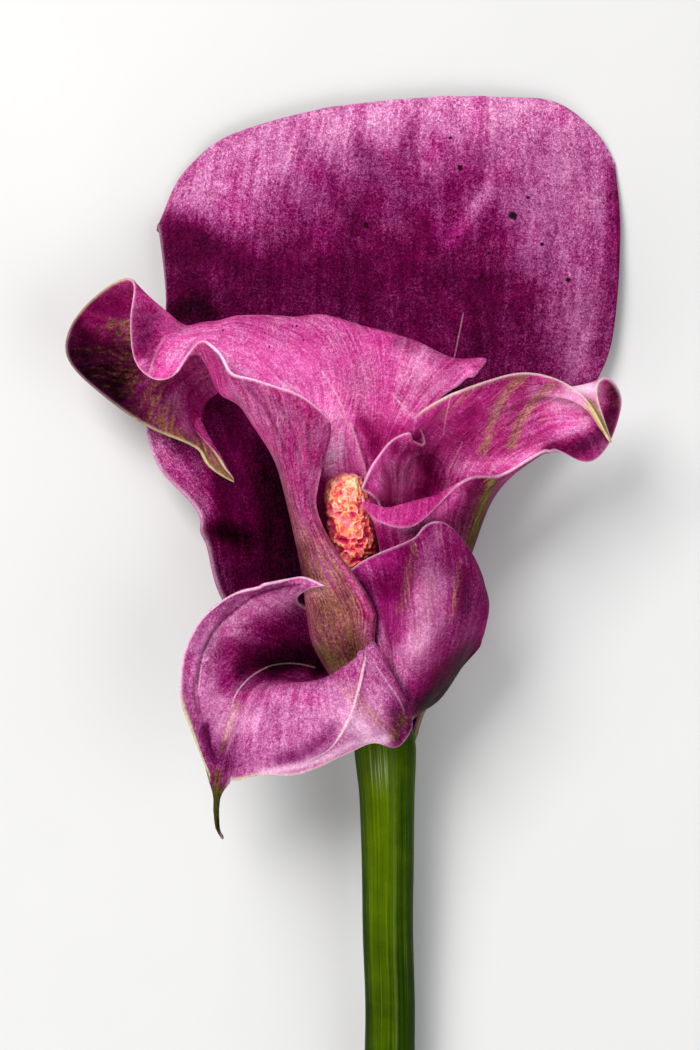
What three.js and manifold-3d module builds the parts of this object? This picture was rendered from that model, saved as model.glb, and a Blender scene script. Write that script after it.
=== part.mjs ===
import * as THREE from "three";
import { mergeVertices } from "three/addons/utils/BufferGeometryUtils.js";
import Module from "manifold-3d";

// A calla lily flower lying on its back, in millimetres.
// +Y runs from the cut end of the stem to the top of the flower, +Z is up from the surface it lies on.

// Driving dimensions
const SPATHE_BASE_THICKNESS = 1.3; // fleshy base of a spathe
const SPATHE_EDGE_THICKNESS = 0.85; // its margin
const GAP = 0.32; // clearance between neighbouring pieces
const STEM_SIDES = 20;
const SPADIX_SIDES = 16;
const STEM_PATH = [
  // x, y, z, radius along the stem, from the flower down to the cut end
  [7.47, -7.88, 14.1, 1.4],
  [7.47, -8.48, 14.1, 3.2],
  [7.67, -9.48, 14.1, 4.8],
  [7.87, -11.08, 14.1, 6.01],
  [7.87, -13.48, 14.1, 6.11],
  [8.08, -17.92, 13.7, 5.81],
  [8.29, -23.59, 13.1, 5.41],
  [8.5, -35.73, 12.1, 5.12],
  [8.52, -49.95, 10.9, 4.99],
  [8.94, -64.26, 9.5, 4.94],
  [8.95, -76.58, 8.3, 4.95],
  [9.17, -90.97, 7.1, 5],
  [9.39, -105.37, 6.1, 5.07],
  [9.6, -118.79, 5.16, 5.08],
];
const SPADIX_PATH = [
  // x, y, z, radius along the spadix, from its tip down to its foot
  [-0.7, 41.39, 25.1, 1.38],
  [-0.51, 40.6, 25.1, 2.95],
  [-0.12, 38.83, 25.1, 3.93],
  [0.47, 35.49, 24.9, 4.33],
  [0.87, 32.15, 24.3, 4.33],
  [1.46, 27.62, 23.3, 4.14],
  [1.86, 23.66, 21.9, 3.75],
  [2.06, 18.69, 20.7, 2.77],
  [2.46, 12.71, 19.3, 2.18],
  [3.26, 4.68, 17.3, 1.79],
  [4.06, -1.77, 15.9, 1.6],
];
const CELLS = {
  // facets across and along each spathe
  middle_spathe: [44, 15],
  back_spathe: [16, 16],
  right_spathe: [36, 12],
  lower_right_spathe: [18, 9],
  front_spathe: [38, 12],
};

// Each spathe is a thin sheet. A row below is one rib of it, from the base to the margin,
// and each triple is a point of the rib (x, y, z). The rows follow each other round the flower.
const RIBS = {
  middle_spathe: [
    [[7.65, -5.75, 16.1], [5.4, 8.52, 23.9], [5.57, 14.5, 26.3], [1.26, 21.59, 28.3], [-2.84, 27.46, 28.7], [-5.96, 34.29, 29.9], [-5.55, 39.92, 31.3], [-4.37, 44.18, 32.3], [-3.2, 48.03, 33.3], [-3, 51.1, 34.3]],
    [[7.04, -5.69, 17.1], [4.4, 8.78, 25.5], [4.97, 14.36, 28.3], [0.87, 21.82, 30.3], [-3.21, 27.67, 31.5], [-6.71, 34.09, 31.7], [-6.11, 39.51, 32.9], [-4.94, 44.53, 34.1], [-3.77, 48.75, 35.3], [-3.76, 52.58, 36.1]],
    [[6.24, -5.65, 17.7], [2.44, 7.99, 25.5], [2.04, 14.95, 28.3], [-1.47, 22.41, 30.3], [-4.58, 27.67, 31.5], [-7.67, 34.47, 32.7], [-8.23, 40.27, 34.1], [-8.4, 46.04, 35.5], [-8.38, 51.02, 36.7], [-8.57, 56.59, 37.1]],
    [[5.04, -5.64, 17.9], [-1.49, 7.43, 26.1], [-3.05, 14.92, 27.5], [-5.97, 21.79, 28.3], [-7.72, 27.66, 29.3], [-10.43, 35.46, 30.3], [-11.95, 42.25, 31.9], [-13.08, 48.8, 33.7], [-14.01, 53.78, 35.1], [-15.72, 59.15, 35.9]],
    [[4.05, -5.66, 17.5], [-4.45, 6.53, 23.5], [-6.61, 14.44, 24.3], [-8.18, 21.33, 24.7], [-9.55, 28.22, 25.1], [-11.51, 35.88, 25.5], [-13.64, 43.12, 26.7], [-16.33, 48.96, 28.3], [-19.36, 55.1, 31.1], [-21.77, 62.13, 34.3]],
    [[3.06, -5.74, 16.3], [-5.48, 6.37, 19.7], [-7.26, 14.31, 19.9], [-8.25, 21.85, 20.3], [-9.64, 28.98, 20.1], [-11.42, 36.52, 20.1], [-13.77, 44.03, 21.1], [-17.26, 50.28, 23.5], [-21.07, 56.44, 27.1], [-24.97, 66.14, 31.9]],
    [[2.67, -5.81, 15.1], [-5.31, 6.66, 17.1], [-6.7, 14.64, 17.5], [-7.5, 22.6, 17.3], [-8.31, 30.56, 16.5], [-9.9, 38.94, 16.3], [-12.47, 46.49, 17.5], [-16.57, 52.77, 20.1], [-23.16, 58.54, 23.9], [-28.2, 67.84, 29.5]],
    [[2.71, -5.84, 14.74], [-5.16, 6.75, 16.44], [-6.47, 14.74, 16.78], [-7.35, 22.85, 16.48], [-8.22, 31.86, 15.86], [-9.93, 50.55, 15.1], [-15.05, 58.02, 17.9], [-21.29, 62.63, 21.1], [-27.45, 65.98, 24.7], [-31.25, 64.47, 27.1]],
    [[2.73, -5.86, 14.38], [-5, 6.87, 15.78], [-6.24, 14.86, 16.06], [-7.16, 23.09, 15.64], [-8.14, 33.14, 15.22], [-8.14, 52.99, 13.9], [-13.09, 61.46, 16.7], [-19.95, 66.65, 19.9], [-27.87, 68.95, 24.3], [-34, 60.55, 27.1]],
    [[2.77, -5.88, 14.04], [-4.65, 7.02, 15.2], [-5.84, 15.02, 15.42], [-6.83, 23.46, 14.94], [-7.95, 34.48, 14.72], [-6.55, 55.02, 13.1], [-11.91, 64.1, 15.9], [-19.57, 69.27, 19.3], [-31.43, 69.37, 23.9], [-37.94, 60.18, 26.7]],
    [[2.87, -5.9, 13.68], [-4.13, 7.22, 14.8], [-5.33, 15.21, 14.88], [-6.34, 23.96, 14.38], [-7.68, 35.86, 14.36], [-5.35, 56.64, 12.7], [-10.92, 65.73, 15.3], [-19.6, 70.7, 18.7], [-33.49, 70.66, 22.3], [-41.61, 64.01, 24.7]],
    [[3.05, -5.92, 13.38], [-3.55, 7.43, 14.48], [-4.78, 15.43, 14.42], [-5.78, 24.45, 13.92], [-7.4, 37.25, 14.06], [-4.15, 57.66, 12.5], [-10.13, 66.95, 14.9], [-19.62, 71.75, 17.9], [-34.38, 72.35, 20.7], [-42.49, 71.96, 23.5]],
    [[3.25, -5.94, 13.08], [-2.98, 7.66, 14.2], [-4.16, 15.66, 14.02], [-5.16, 24.93, 13.52], [-7.08, 38.63, 13.8], [-3.15, 58.47, 12.3], [-9.13, 67.96, 14.7], [-19.46, 72.41, 16.9], [-35.69, 74.47, 18.7], [-41.87, 79.84, 21.1]],
    [[3.52, -5.96, 12.82], [-2.36, 7.87, 13.96], [-3.5, 15.89, 13.68], [-4.49, 25.39, 13.18], [-6.71, 40, 13.52], [-2.35, 59.07, 12.3], [-8.14, 68.57, 14.5], [-18.71, 73.11, 15.5], [-37.13, 74.36, 14.7], [-46.48, 79.7, 17.9]],
    [[3.8, -5.97, 12.62], [-1.72, 8.06, 13.76], [-2.82, 16.13, 13.42], [-3.77, 25.82, 12.9], [-6.21, 41.32, 13.22], [-1.54, 59.47, 12.3], [-7.34, 68.99, 14.3], [-17.95, 73.59, 14.3], [-38.11, 71.75, 11.9], [-54.22, 72.88, 15.9]],
    [[4.12, -5.98, 12.46], [-1.08, 8.28, 13.62], [-2.1, 16.34, 13.22], [-3.03, 26.22, 12.68], [-5.59, 42.59, 12.9], [-0.74, 59.67, 12.3], [-6.54, 69.4, 14.1], [-16.77, 73.66, 13.3], [-37.79, 67.8, 10.7], [-55.89, 64.94, 15.1]],
    [[4.48, -5.99, 12.36], [-0.42, 8.5, 13.52], [-1.38, 16.58, 13.06], [-2.22, 26.58, 12.48], [-4.87, 43.8, 12.56], [0.06, 59.87, 12.3], [-5.54, 69.61, 13.9], [-15.6, 73.33, 12.3], [-36.2, 64.4, 10.3], [-48.33, 57.16, 14.7]],
    [[4.82, -5.99, 12.3], [0.25, 8.71, 13.44], [-0.64, 16.78, 12.96], [-1.42, 26.9, 12.3], [-4.01, 44.94, 12.24], [0.87, 60.07, 12.3], [-4.54, 69.81, 13.9], [-14.41, 72.77, 11.7], [-33.78, 61.18, 10.3], [-39.11, 50.95, 15.1]],
    [[5.18, -5.99, 12.3], [0.91, 8.93, 13.42], [0.11, 16.98, 12.92], [-0.58, 27.16, 12.18], [-2.97, 45.91, 11.96], [1.67, 60.07, 12.3], [-3.54, 70.01, 13.9], [-13.22, 72.2, 11.1], [-31.36, 57.94, 10.5], [-29.49, 46.94, 15.5]],
    [[5.55, -5.99, 12.34], [1.57, 9.15, 13.44], [0.87, 17.2, 12.9], [0.28, 27.4, 12.1], [-1.75, 46.62, 11.72], [1.97, 60.07, 12.3], [-3.14, 70.01, 13.9], [-12.82, 71.91, 10.9], [-30.34, 56.73, 10.7], [-26.89, 42.94, 15.7]],
    [[5.89, -5.98, 12.42], [2.23, 9.36, 13.52], [1.61, 17.42, 12.92], [1.15, 27.6, 12.12], [-0.38, 47.12, 11.54], [2.27, 60.07, 12.3], [-2.74, 70.01, 13.9], [-12.42, 71.63, 10.7], [-29.53, 56.32, 10.7], [-22.09, 39.94, 15.9]],
    [[6.23, -5.97, 12.56], [2.89, 9.54, 13.64], [2.33, 17.7, 12.98], [2.01, 27.79, 12.2], [1.01, 47.47, 11.42], [2.57, 59.97, 12.4], [-2.34, 70.01, 13.9], [-12.02, 71.34, 10.5], [-28.94, 55.93, 10.5], [-24.31, 42.95, 15.3]],
    [[6.53, -5.98, 12.74], [3.55, 9.69, 13.84], [3.05, 17.96, 13.1], [2.85, 27.91, 12.4], [2.46, 47.61, 11.38], [2.87, 59.86, 12.5], [-1.94, 70.01, 13.9], [-11.62, 71.05, 10.3], [-29.37, 57.57, 9.9], [-26.75, 46.57, 14.3]],
    [[6.8, -5.97, 12.96], [4.17, 9.74, 14.16], [3.75, 18.15, 13.34], [3.7, 27.95, 12.7], [3.86, 47.38, 11.54], [3.88, 59.66, 12.5], [-0.53, 69.81, 13.9], [-9.62, 70.09, 9.5], [-30.22, 60.83, 9.1], [-33.81, 55.95, 9.9]],
    [[7.04, -5.95, 13.22], [4.71, 9.68, 14.58], [4.41, 18.16, 13.74], [4.44, 27.83, 13.16], [5.09, 46.75, 12], [5.28, 59.05, 12.7], [1.87, 69.41, 13.9], [-4.18, 70.09, 9.5], [-19.36, 64.53, 7.9], [-26.46, 62.53, 7.5]],
    [[7.18, -5.87, 13.54], [5.16, 9.53, 15.08], [4.97, 18.05, 14.26], [5.05, 27.59, 13.76], [6.09, 45.87, 12.6], [7.49, 57.83, 13.1], [6.87, 68.2, 14.1], [4.48, 70.74, 11.9], [-1.16, 66.96, 7.9], [-5.21, 63.36, 7.1]],
    [[7.28, -5.75, 13.88], [5.52, 9.35, 15.62], [5.37, 17.93, 14.9], [5.55, 27.3, 14.42], [6.86, 44.83, 13.24], [9.88, 56.2, 13.7], [12.86, 65.34, 15.1], [13.88, 68.41, 13.9], [12.55, 66.41, 10.3], [11.37, 64.08, 8.7]],
    [[7.33, -5.65, 14.22], [5.75, 9.14, 16.24], [5.58, 17.76, 15.62], [5.84, 26.94, 15.16], [7.44, 43.7, 13.92], [11.87, 54.16, 14.7], [16.82, 61.28, 16.3], [20, 64.45, 16.7], [20.85, 64.94, 15.1], [21.32, 63.45, 13.1]],
    [[7.39, -5.53, 14.56], [5.89, 8.9, 16.88], [5.71, 17.58, 16.36], [6.04, 26.55, 15.94], [7.95, 42.52, 14.62], [12.84, 52.12, 15.9], [18.38, 58.43, 17.7], [22.32, 62.16, 18.7], [24.89, 63.72, 19.1], [28.1, 64.56, 18.3]],
    [[7.47, -5.43, 14.9], [6.04, 8.67, 17.5], [5.85, 17.42, 17.1], [6.25, 26.18, 16.7], [8.46, 41.35, 15.3], [13.22, 50.48, 17.1], [18.74, 56.77, 19.1], [22.27, 59.1, 20.3], [23.82, 60.65, 21.1], [25.39, 60.83, 21.5]],
  ],
  back_spathe: [
    [[1.67, -11.93, 13.5], [-0.33, -6.69, 13.9], [-11.59, 3.63, 11.9], [-24.42, 15.71, 12.7], [-27.63, 26.14, 12.7], [-28.83, 32.16, 12.7], [-31.26, 36.58, 12.3], [-37.79, 43.44, 10.7], [-40.77, 54.81, 8.3], [-39.67, 63.78, 6.7], [-36.52, 74.84, 5.1], [-38.05, 91.25, 3.5], [-38.47, 91.59, 0.1]],
    [[1.47, -13.05, 11.9], [-0.34, -7.38, 12.5], [-10.83, 3.34, 9.9], [-22.08, 15.25, 10.7], [-24.92, 26.12, 10.3], [-25.73, 32.17, 10.3], [-28.16, 36.6, 9.9], [-34.28, 44.29, 8.7], [-37.61, 54.85, 7.1], [-37.27, 63.82, 6.1], [-34.49, 75.66, 5.1], [-34.95, 91.2, 4.1], [-33.91, 102.97, 0.9]],
    [[2.28, -14.2, 9.9], [0.87, -8.13, 10.3], [-8.85, 2.6, 7.1], [-17.79, 14.73, 6.3], [-20.24, 26.08, 5.9], [-21.05, 32.17, 5.9], [-22.27, 37.45, 5.9], [-26.34, 45.17, 5.5], [-29.61, 55.34, 5.1], [-30.43, 65.09, 5.1], [-28.79, 76.45, 5.3], [-28.39, 91.1, 5.1], [-25.26, 110.36, 2.3]],
    [[4.1, -15.15, 8.1], [3.29, -8.87, 8.3], [-4.21, 2.1, 5.1], [-10.13, 14.66, 3.9], [-11.77, 26.06, 3.3], [-12.18, 32.58, 3.3], [-12.99, 38.69, 3.3], [-15.43, 47.86, 3.5], [-17.86, 57.42, 3.9], [-18.66, 67.16, 4.5], [-18.23, 76.87, 5.1], [-17.81, 91.04, 5.7], [-14.42, 114.13, 3.1]],
    [[6.34, -15.63, 7.1], [5.73, -9.35, 7.1], [1.27, 1.63, 3.9], [-1.58, 14.21, 2.3], [-2.4, 26.05, 1.9], [-2.4, 32.99, 1.7], [-2.81, 39.12, 1.7], [-4.04, 48.92, 1.9], [-5.66, 59.1, 2.7], [-6.46, 68.42, 3.7], [-6.66, 77.31, 4.7], [-6.44, 92.44, 5.9], [-3.21, 116.78, 3.1]],
    [[8.57, -15.65, 6.9], [8.16, -9.58, 6.7], [6.98, 1.63, 3.9], [6.99, 14.21, 2.3], [7.41, 26.45, 1.7], [7.82, 33.4, 1.5], [8.23, 39.53, 1.5], [8.22, 48.92, 1.9], [7.8, 59.51, 2.7], [7.38, 68.42, 3.7], [6.97, 77.3, 4.9], [6.95, 93.84, 6.1], [8.61, 118.2, 3.1]],
    [[10.58, -15.19, 7.5], [10.58, -9.12, 7.5], [12.65, 2.1, 5.1], [14.72, 14.66, 3.7], [15.95, 26.87, 3.1], [16.77, 33.8, 3.1], [17.58, 39.92, 3.1], [19.21, 49.29, 3.3], [20.01, 59.46, 3.7], [20.4, 68.39, 4.3], [20.37, 77.28, 5.1], [20.34, 94.65, 6.1], [21.26, 119.05, 2.9]],
    [[12.18, -14.08, 8.9], [12.77, -8.19, 9.3], [17.07, 2.6, 7.1], [19.94, 15.12, 5.9], [21.58, 27.3, 5.5], [22.8, 34.2, 5.5], [24.42, 40.7, 5.5], [28.09, 49.64, 5.3], [30.93, 58.98, 5.3], [32.34, 67.91, 5.5], [32.94, 77.24, 5.7], [33.74, 94.67, 5.9], [32.5, 118.9, 2.5]],
    [[13.15, -12.73, 10.7], [14.34, -7.26, 11.3], [19.04, 3.5, 9.1], [22.09, 16, 8.3], [23.72, 28.12, 7.9], [25.14, 35, 7.9], [27.58, 41.07, 7.5], [33.7, 48.79, 6.7], [39.01, 57.73, 6.1], [41.87, 67.09, 5.7], [43.51, 76.84, 5.5], [44.77, 93.96, 4.9], [42.96, 118.2, 1.7]],
    [[13.52, -11.61, 12.3], [14.91, -6.57, 12.7], [19.81, 3.96, 10.3], [22.86, 16.43, 9.5], [24.49, 28.53, 9.1], [25.9, 35.4, 9.1], [28.76, 41.06, 8.3], [36.54, 47.57, 6.7], [44.32, 56.13, 5.5], [49.28, 66.34, 4.5], [51.56, 76.96, 3.9], [52.45, 93.33, 3.1], [51.18, 112.15, 1.1]],
    [[13.69, -10.52, 13.5], [15.29, -5.69, 13.9], [20.18, 4.4, 11.1], [23.23, 16.85, 10.3], [24.86, 28.94, 9.9], [26.48, 35.8, 9.7], [29.54, 41.05, 8.9], [37.75, 47.17, 6.7], [46.79, 54.93, 5.1], [53.23, 65.18, 3.5], [55.32, 77.04, 2.9], [56.06, 93.49, 1.5], [55.13, 105.69, 0.38]],
  ],
  right_spathe: [
    [[9.16, -6.59, 15.5], [8.11, 8.35, 19.5], [7.36, 21.73, 24.7], [6.15, 29.6, 27.3], [4.77, 33.71, 28.9], [3.4, 35.46, 29.3], [3.21, 36.43, 29.9], [3.21, 37.02, 30.3]],
    [[9.92, -6.94, 16.3], [9.42, 8.41, 21.1], [9.12, 21.74, 25.5], [6.81, 29.6, 27.9], [5.55, 33.7, 29.9], [4.95, 35.65, 31.1], [4.56, 35.44, 32.1], [4.56, 33.7, 32.3]],
    [[10.36, -7.1, 16.9], [10.34, 8.44, 21.9], [9.86, 21.75, 25.9], [8.86, 29.61, 28.7], [8.27, 33.12, 30.3], [7.86, 34.86, 31.7], [7.27, 34.08, 32.9], [6.88, 31.95, 32.9]],
    [[11.03, -7.08, 17.1], [11.73, 8.46, 22.3], [11.85, 21.75, 26.3], [11.41, 29.61, 29.1], [10.99, 33.7, 30.7], [10.97, 35.64, 32.1], [10.75, 33.69, 33.5], [10.56, 30.98, 33.3]],
    [[12.03, -6.9, 16.9], [13.51, 8.45, 22.1], [14.41, 21.75, 25.9], [14.54, 29.61, 28.7], [14.49, 34.48, 30.7], [14.66, 36.61, 32.1], [14.43, 34.86, 33.3], [14.05, 31.75, 33.1]],
    [[12.64, -6.74, 16.3], [15.11, 8.41, 21.1], [16.99, 21.73, 24.7], [18.1, 29.6, 27.1], [18.42, 34.49, 29.5], [18.76, 37.01, 31.1], [19.12, 37.97, 32.1], [19.69, 36.99, 32.5]],
    [[13.05, -6.39, 15.5], [16.33, 8.36, 19.9], [19.21, 21.7, 23.1], [20.9, 29.6, 25.5], [21.8, 34.89, 27.9], [22.69, 38.38, 30.3], [23.22, 39.92, 31.5], [23.78, 40.68, 32.3]],
    [[13.27, -6.05, 14.5], [17.37, 8.5, 18.3], [21.45, 22.06, 21.1], [23.74, 29.59, 23.1], [25.61, 34.9, 25.5], [27.84, 38.4, 28.3], [29.31, 40.33, 30.3], [30.44, 41.48, 31.1]],
    [[13.29, -5.71, 13.5], [18.22, 8.62, 16.3], [23.12, 22.62, 18.7], [25.83, 30.57, 20.3], [28.51, 36.5, 22.3], [31.92, 40.8, 25.1], [35.32, 43.5, 27.5], [38.18, 46.02, 28.7]],
    [[13.11, -5.36, 12.7], [18.47, 8.75, 14.5], [23.81, 23.38, 16.3], [26.33, 32.16, 17.9], [29.4, 38.5, 20.3], [33.97, 43.19, 23.5], [38.8, 45.91, 25.1], [41.38, 46.51, 24.7]],
    [[12.72, -5, 12.1], [18.31, 8.9, 13.1], [23.48, 24.16, 14.3], [26, 34.15, 16.3], [29.81, 41.67, 19.9], [37.47, 47.11, 24.3], [44.56, 48.68, 24.3], [48.05, 43.85, 19.9]],
    [[12.32, -4.62, 11.7], [17.73, 9.07, 12.3], [22.52, 24.94, 13.1], [24.84, 36.15, 15.5], [29.4, 44.84, 20.3], [38.97, 50.22, 25.5], [49.31, 51.45, 23.9], [52.85, 49.02, 19.5]],
    [[11.93, -4.43, 11.5], [16.95, 9.25, 11.7], [21.35, 25.74, 12.3], [23.25, 37.76, 15.1], [28.21, 47.21, 20.3], [38.99, 53.77, 25.1], [49.81, 55.44, 22.7], [54.72, 56.31, 20.7]],
    [[11.53, -4.24, 11.3], [16.15, 9.44, 11.3], [20.16, 26.14, 11.9], [21.86, 38.96, 14.9], [27.02, 48.8, 20.3], [37.84, 56.14, 24.7], [48.2, 58.97, 23.1], [51.71, 60.92, 23.5]],
    [[11.13, -4.04, 11.3], [15.15, 9.63, 11.1], [18.96, 26.54, 11.7], [20.46, 39.76, 14.9], [25.82, 49.58, 20.5], [37.03, 56.91, 25.1], [46.04, 58.47, 25.5], [49.05, 57.61, 27.1]],
    [[10.72, -4.04, 11.3], [14.35, 9.63, 11.1], [17.75, 26.74, 11.7], [19.26, 40.55, 15.1], [24.62, 49.97, 20.9], [36.2, 56.49, 25.9], [46.25, 55.23, 27.9], [52.24, 47.19, 28.7]],
    [[10.32, -4.03, 11.5], [13.54, 9.64, 11.3], [16.54, 26.94, 11.9], [18.05, 41.15, 15.3], [23.42, 50.35, 21.3], [34.6, 56.86, 26.3], [43.48, 57.95, 28.3], [47.72, 55.38, 29.1]],
    [[10.13, -4.02, 11.7], [12.79, 9.64, 11.5], [15.57, 27.14, 12.1], [16.76, 41.74, 15.7], [21.83, 50.74, 21.5], [31.46, 56.86, 26.3], [38.01, 59.51, 28.3], [41.87, 59.87, 28.9]],
    [[9.97, -4.21, 11.9], [12.3, 9.46, 11.9], [14.64, 27.35, 12.5], [15.39, 42.33, 16.3], [19.64, 50.93, 21.9], [27.17, 56.09, 25.9], [31.77, 59.53, 27.9], [34.48, 61.46, 28.5]],
    [[9.69, -4.38, 12.3], [11.68, 9.28, 12.5], [13.38, 27.35, 13.1], [13.76, 42.52, 17.1], [16.66, 50.32, 22.3], [22.08, 54.54, 25.5], [25.15, 57.21, 27.3], [26.69, 59.53, 27.9]],
    [[9.39, -4.75, 12.9], [10.79, 9.11, 13.3], [11.88, 27.16, 14.1], [12, 42.1, 18.1], [13.5, 49.12, 22.7], [16.59, 52.2, 25.1], [17.72, 54.1, 26.7], [18.49, 56.23, 27.3]],
    [[8.98, -5.11, 13.5], [9.97, 8.95, 14.3], [10.46, 26.77, 15.3], [10.2, 41.29, 19.3], [10.53, 46.35, 23.1], [12.27, 49.05, 25.1], [12.83, 50.59, 26.3], [13.22, 52.53, 26.7]],
    [[8.78, -5.48, 14.1], [9.16, 8.79, 15.5], [9.24, 26.18, 16.7], [8.59, 40.07, 20.7], [8.16, 43.58, 23.5], [8.73, 45.9, 25.3], [8.71, 47.05, 26.5], [8.7, 48.01, 27.1]],
    [[8.57, -5.84, 14.7], [8.54, 8.64, 16.7], [8.41, 25.41, 19.5], [7.96, 37.67, 23.3], [6.95, 40, 25.7], [5.57, 41.75, 26.7], [5.37, 42.71, 27.7], [5.17, 43.49, 28.1]],
    [[8.76, -6.21, 15.1], [8.13, 8.49, 18.1], [7.98, 24.64, 21.9], [6.75, 34.9, 26.1], [5.76, 36.64, 28.1], [4.77, 37.61, 29.1], [3.4, 38.2, 29.3], [3.4, 38.78, 29.7]],
  ],
  lower_right_spathe: [
    [[8.42, -7.39, 18.5], [8.01, -3.16, 19.5], [7.21, 3.83, 20.5], [4.82, 10.81, 21.9], [2.84, 16.4, 23.9], [1.26, 19.97, 25.5], [0.48, 22.35, 26.7]],
    [[8.81, -7.58, 18.7], [8.58, -3.04, 21.5], [8.55, 3.97, 23.5], [6.77, 10.9, 24.3], [5.19, 16.83, 25.5], [3.41, 21.38, 27.1], [2.63, 24.13, 27.9]],
    [[9.41, -7.56, 18.9], [9.74, -2.93, 23.5], [9.88, 4.12, 26.7], [9.07, 11.05, 28.7], [8.08, 17.33, 29.7], [7.1, 22.8, 30.7], [6.31, 26.11, 31.1]],
    [[9.81, -7.78, 18.7], [11.1, -2.89, 24.1], [11.8, 4.22, 28.9], [11.75, 11.16, 31.7], [11.34, 17.79, 32.9], [10.75, 24, 33.3], [10.17, 27.69, 33.5]],
    [[10.73, -7.58, 18.7], [12.94, -2.88, 24.3], [14.14, 4.23, 29.1], [14.46, 11.17, 32.04], [14.44, 18.19, 33.17], [14.04, 24.78, 33.37], [13.46, 29.24, 33.5]],
    [[11.47, -7.39, 18.5], [14.39, -2.69, 24.1], [16.1, 4.41, 28.7], [16.81, 11.15, 31.57], [16.78, 18.56, 32.64], [16.19, 25.55, 32.84], [15.42, 31.56, 32.7]],
    [[12.2, -7.22, 18.1], [15.65, -2.53, 23.5], [18.08, 4.76, 27.9], [19.17, 11.51, 30.7], [19.53, 18.92, 31.5], [19.13, 25.93, 31.9], [18.36, 32.34, 31.5]],
    [[12.81, -7.06, 17.5], [16.86, -2.21, 22.3], [19.89, 5.09, 26.5], [21.56, 11.85, 29.1], [22.3, 18.89, 30.1], [22.3, 24.74, 30.3], [21.33, 30.39, 30.1]],
    [[13.03, -6.71, 16.7], [17.69, -1.88, 21.1], [21.52, 5.4, 24.7], [23.59, 11.97, 27.1], [24.73, 18.46, 27.9], [25.11, 22.76, 28.1], [24.33, 26.67, 28.1]],
    [[13.44, -6.56, 15.9], [18.53, -1.77, 19.5], [22.77, 5.51, 22.7], [25.25, 11.9, 24.9], [26.39, 16.44, 25.7], [26.77, 19.2, 25.9], [26.58, 22.14, 25.9]],
    [[13.66, -6.41, 15.1], [19.17, -1.86, 17.9], [23.44, 5.23, 20.7], [26.13, 10.45, 22.7], [27.27, 13.23, 23.5], [27.65, 15.22, 23.9], [27.65, 17.58, 23.9]],
    [[13.68, -6.26, 14.3], [19.02, -2.36, 16.1], [23.13, 3.94, 18.5], [25.83, 7.78, 20.3], [26.99, 9.6, 21.1], [27.56, 11.19, 21.5], [27.76, 13.17, 21.5]],
    [[13.69, -6.11, 13.5], [18.27, -3.24, 14.7], [21.8, 1.85, 16.5], [24.34, 4.7, 17.9], [25.71, 6.12, 18.5], [26.49, 7.13, 18.9], [26.88, 8.13, 19.1]],
  ],
  front_spathe: [
    [[9.98, -7.47, 20.3], [8.75, -3.71, 23.5], [7.34, 1.16, 26.3], [5.95, 6.15, 28.3], [5.16, 8.14, 29.1], [5.35, 8.55, 29.7], [5.55, 8.17, 29.9], [5.55, 7.78, 29.9]],
    [[9.58, -8.03, 20.9], [8.15, -4.08, 23.9], [6.75, 0.98, 26.7], [5.36, 5.97, 28.7], [4.57, 7.97, 29.9], [6.12, 7.23, 30.7], [8.07, 4.29, 30.3], [9.65, 0.91, 29.1]],
    [[8.97, -8.76, 21.7], [7.36, -4.83, 24.5], [5.96, 0.42, 27.1], [4.57, 5.22, 29.3], [3.98, 7.22, 30.5], [6.12, 4.72, 31.3], [9.83, -0.19, 30.3], [12.61, -4.65, 27.5]],
    [[8.18, -9.33, 22.1], [6.57, -5.4, 24.9], [4.78, -0.34, 27.5], [3.4, 4.07, 29.7], [2.81, 6.08, 31.1], [4.75, 2.23, 31.9], [8.26, -2.9, 30.7], [13.04, -8.48, 25.9]],
    [[7.19, -9.71, 22.3], [5.58, -5.78, 25.1], [3.41, -1.1, 27.9], [1.65, 2.72, 30.1], [1.06, 4.73, 31.5], [2.42, -0.08, 32.3], [5.15, -5.62, 30.7], [9.91, -12.3, 24.7]],
    [[6, -9.72, 22.1], [4.01, -5.98, 25.1], [1.45, -2.08, 27.9], [-0.69, 1.17, 30.3], [-1.27, 3.19, 31.7], [-0.68, -2, 32.7], [1.26, -7.12, 31.5], [5.18, -10.94, 27.1]],
    [[4.82, -9.55, 21.7], [2.24, -6.02, 24.5], [-0.89, -2.69, 27.5], [-3.62, -0.41, 29.9], [-4.38, 1.42, 31.3], [-4.57, -3.18, 32.5], [-3.41, -9.04, 31.9], [-0.69, -13.69, 29.5]],
    [[3.84, -9.02, 20.9], [0.47, -5.51, 23.1], [-3.84, -3.15, 26.3], [-7.34, -1.26, 28.7], [-8.68, 0.59, 30.3], [-9.82, -4.01, 31.5], [-10.21, -11.21, 31.5], [-9.26, -17.11, 30.7]],
    [[2.85, -8.32, 19.5], [-1.11, -5.02, 21.5], [-6.61, -2.87, 24.5], [-11.28, -1.17, 26.7], [-13.6, 0.29, 28.3], [-15.51, -4.12, 29.7], [-16.26, -11.46, 30.7], [-16.26, -17.11, 30.7]],
    [[2.26, -7.62, 18.1], [-2.51, -3.95, 19.5], [-8.62, -1.44, 21.9], [-14.1, -0.15, 23.9], [-17.58, -1.22, 25.9], [-19.67, -5.8, 27.9], [-20.58, -12.69, 29.9], [-20.94, -18.27, 30.7]],
    [[2.06, -7.36, 17.4], [-3.01, -3.32, 18.5], [-9.43, -0.52, 20.6], [-15.32, 0.57, 22.5], [-18.89, -1.47, 24.8], [-21.07, -6.44, 27.1], [-22.52, -17.56, 29.9], [-22.83, -19.14, 29.7]],
    [[1.86, -7.1, 16.9], [-3.51, -2.68, 17.5], [-10.25, 0.4, 19.3], [-16.54, 1.29, 21.1], [-20.21, -1.73, 23.7], [-22.47, -7.08, 26.3], [-24.7, -21.53, 29.1], [-23.8, -30.68, 27.5]],
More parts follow.
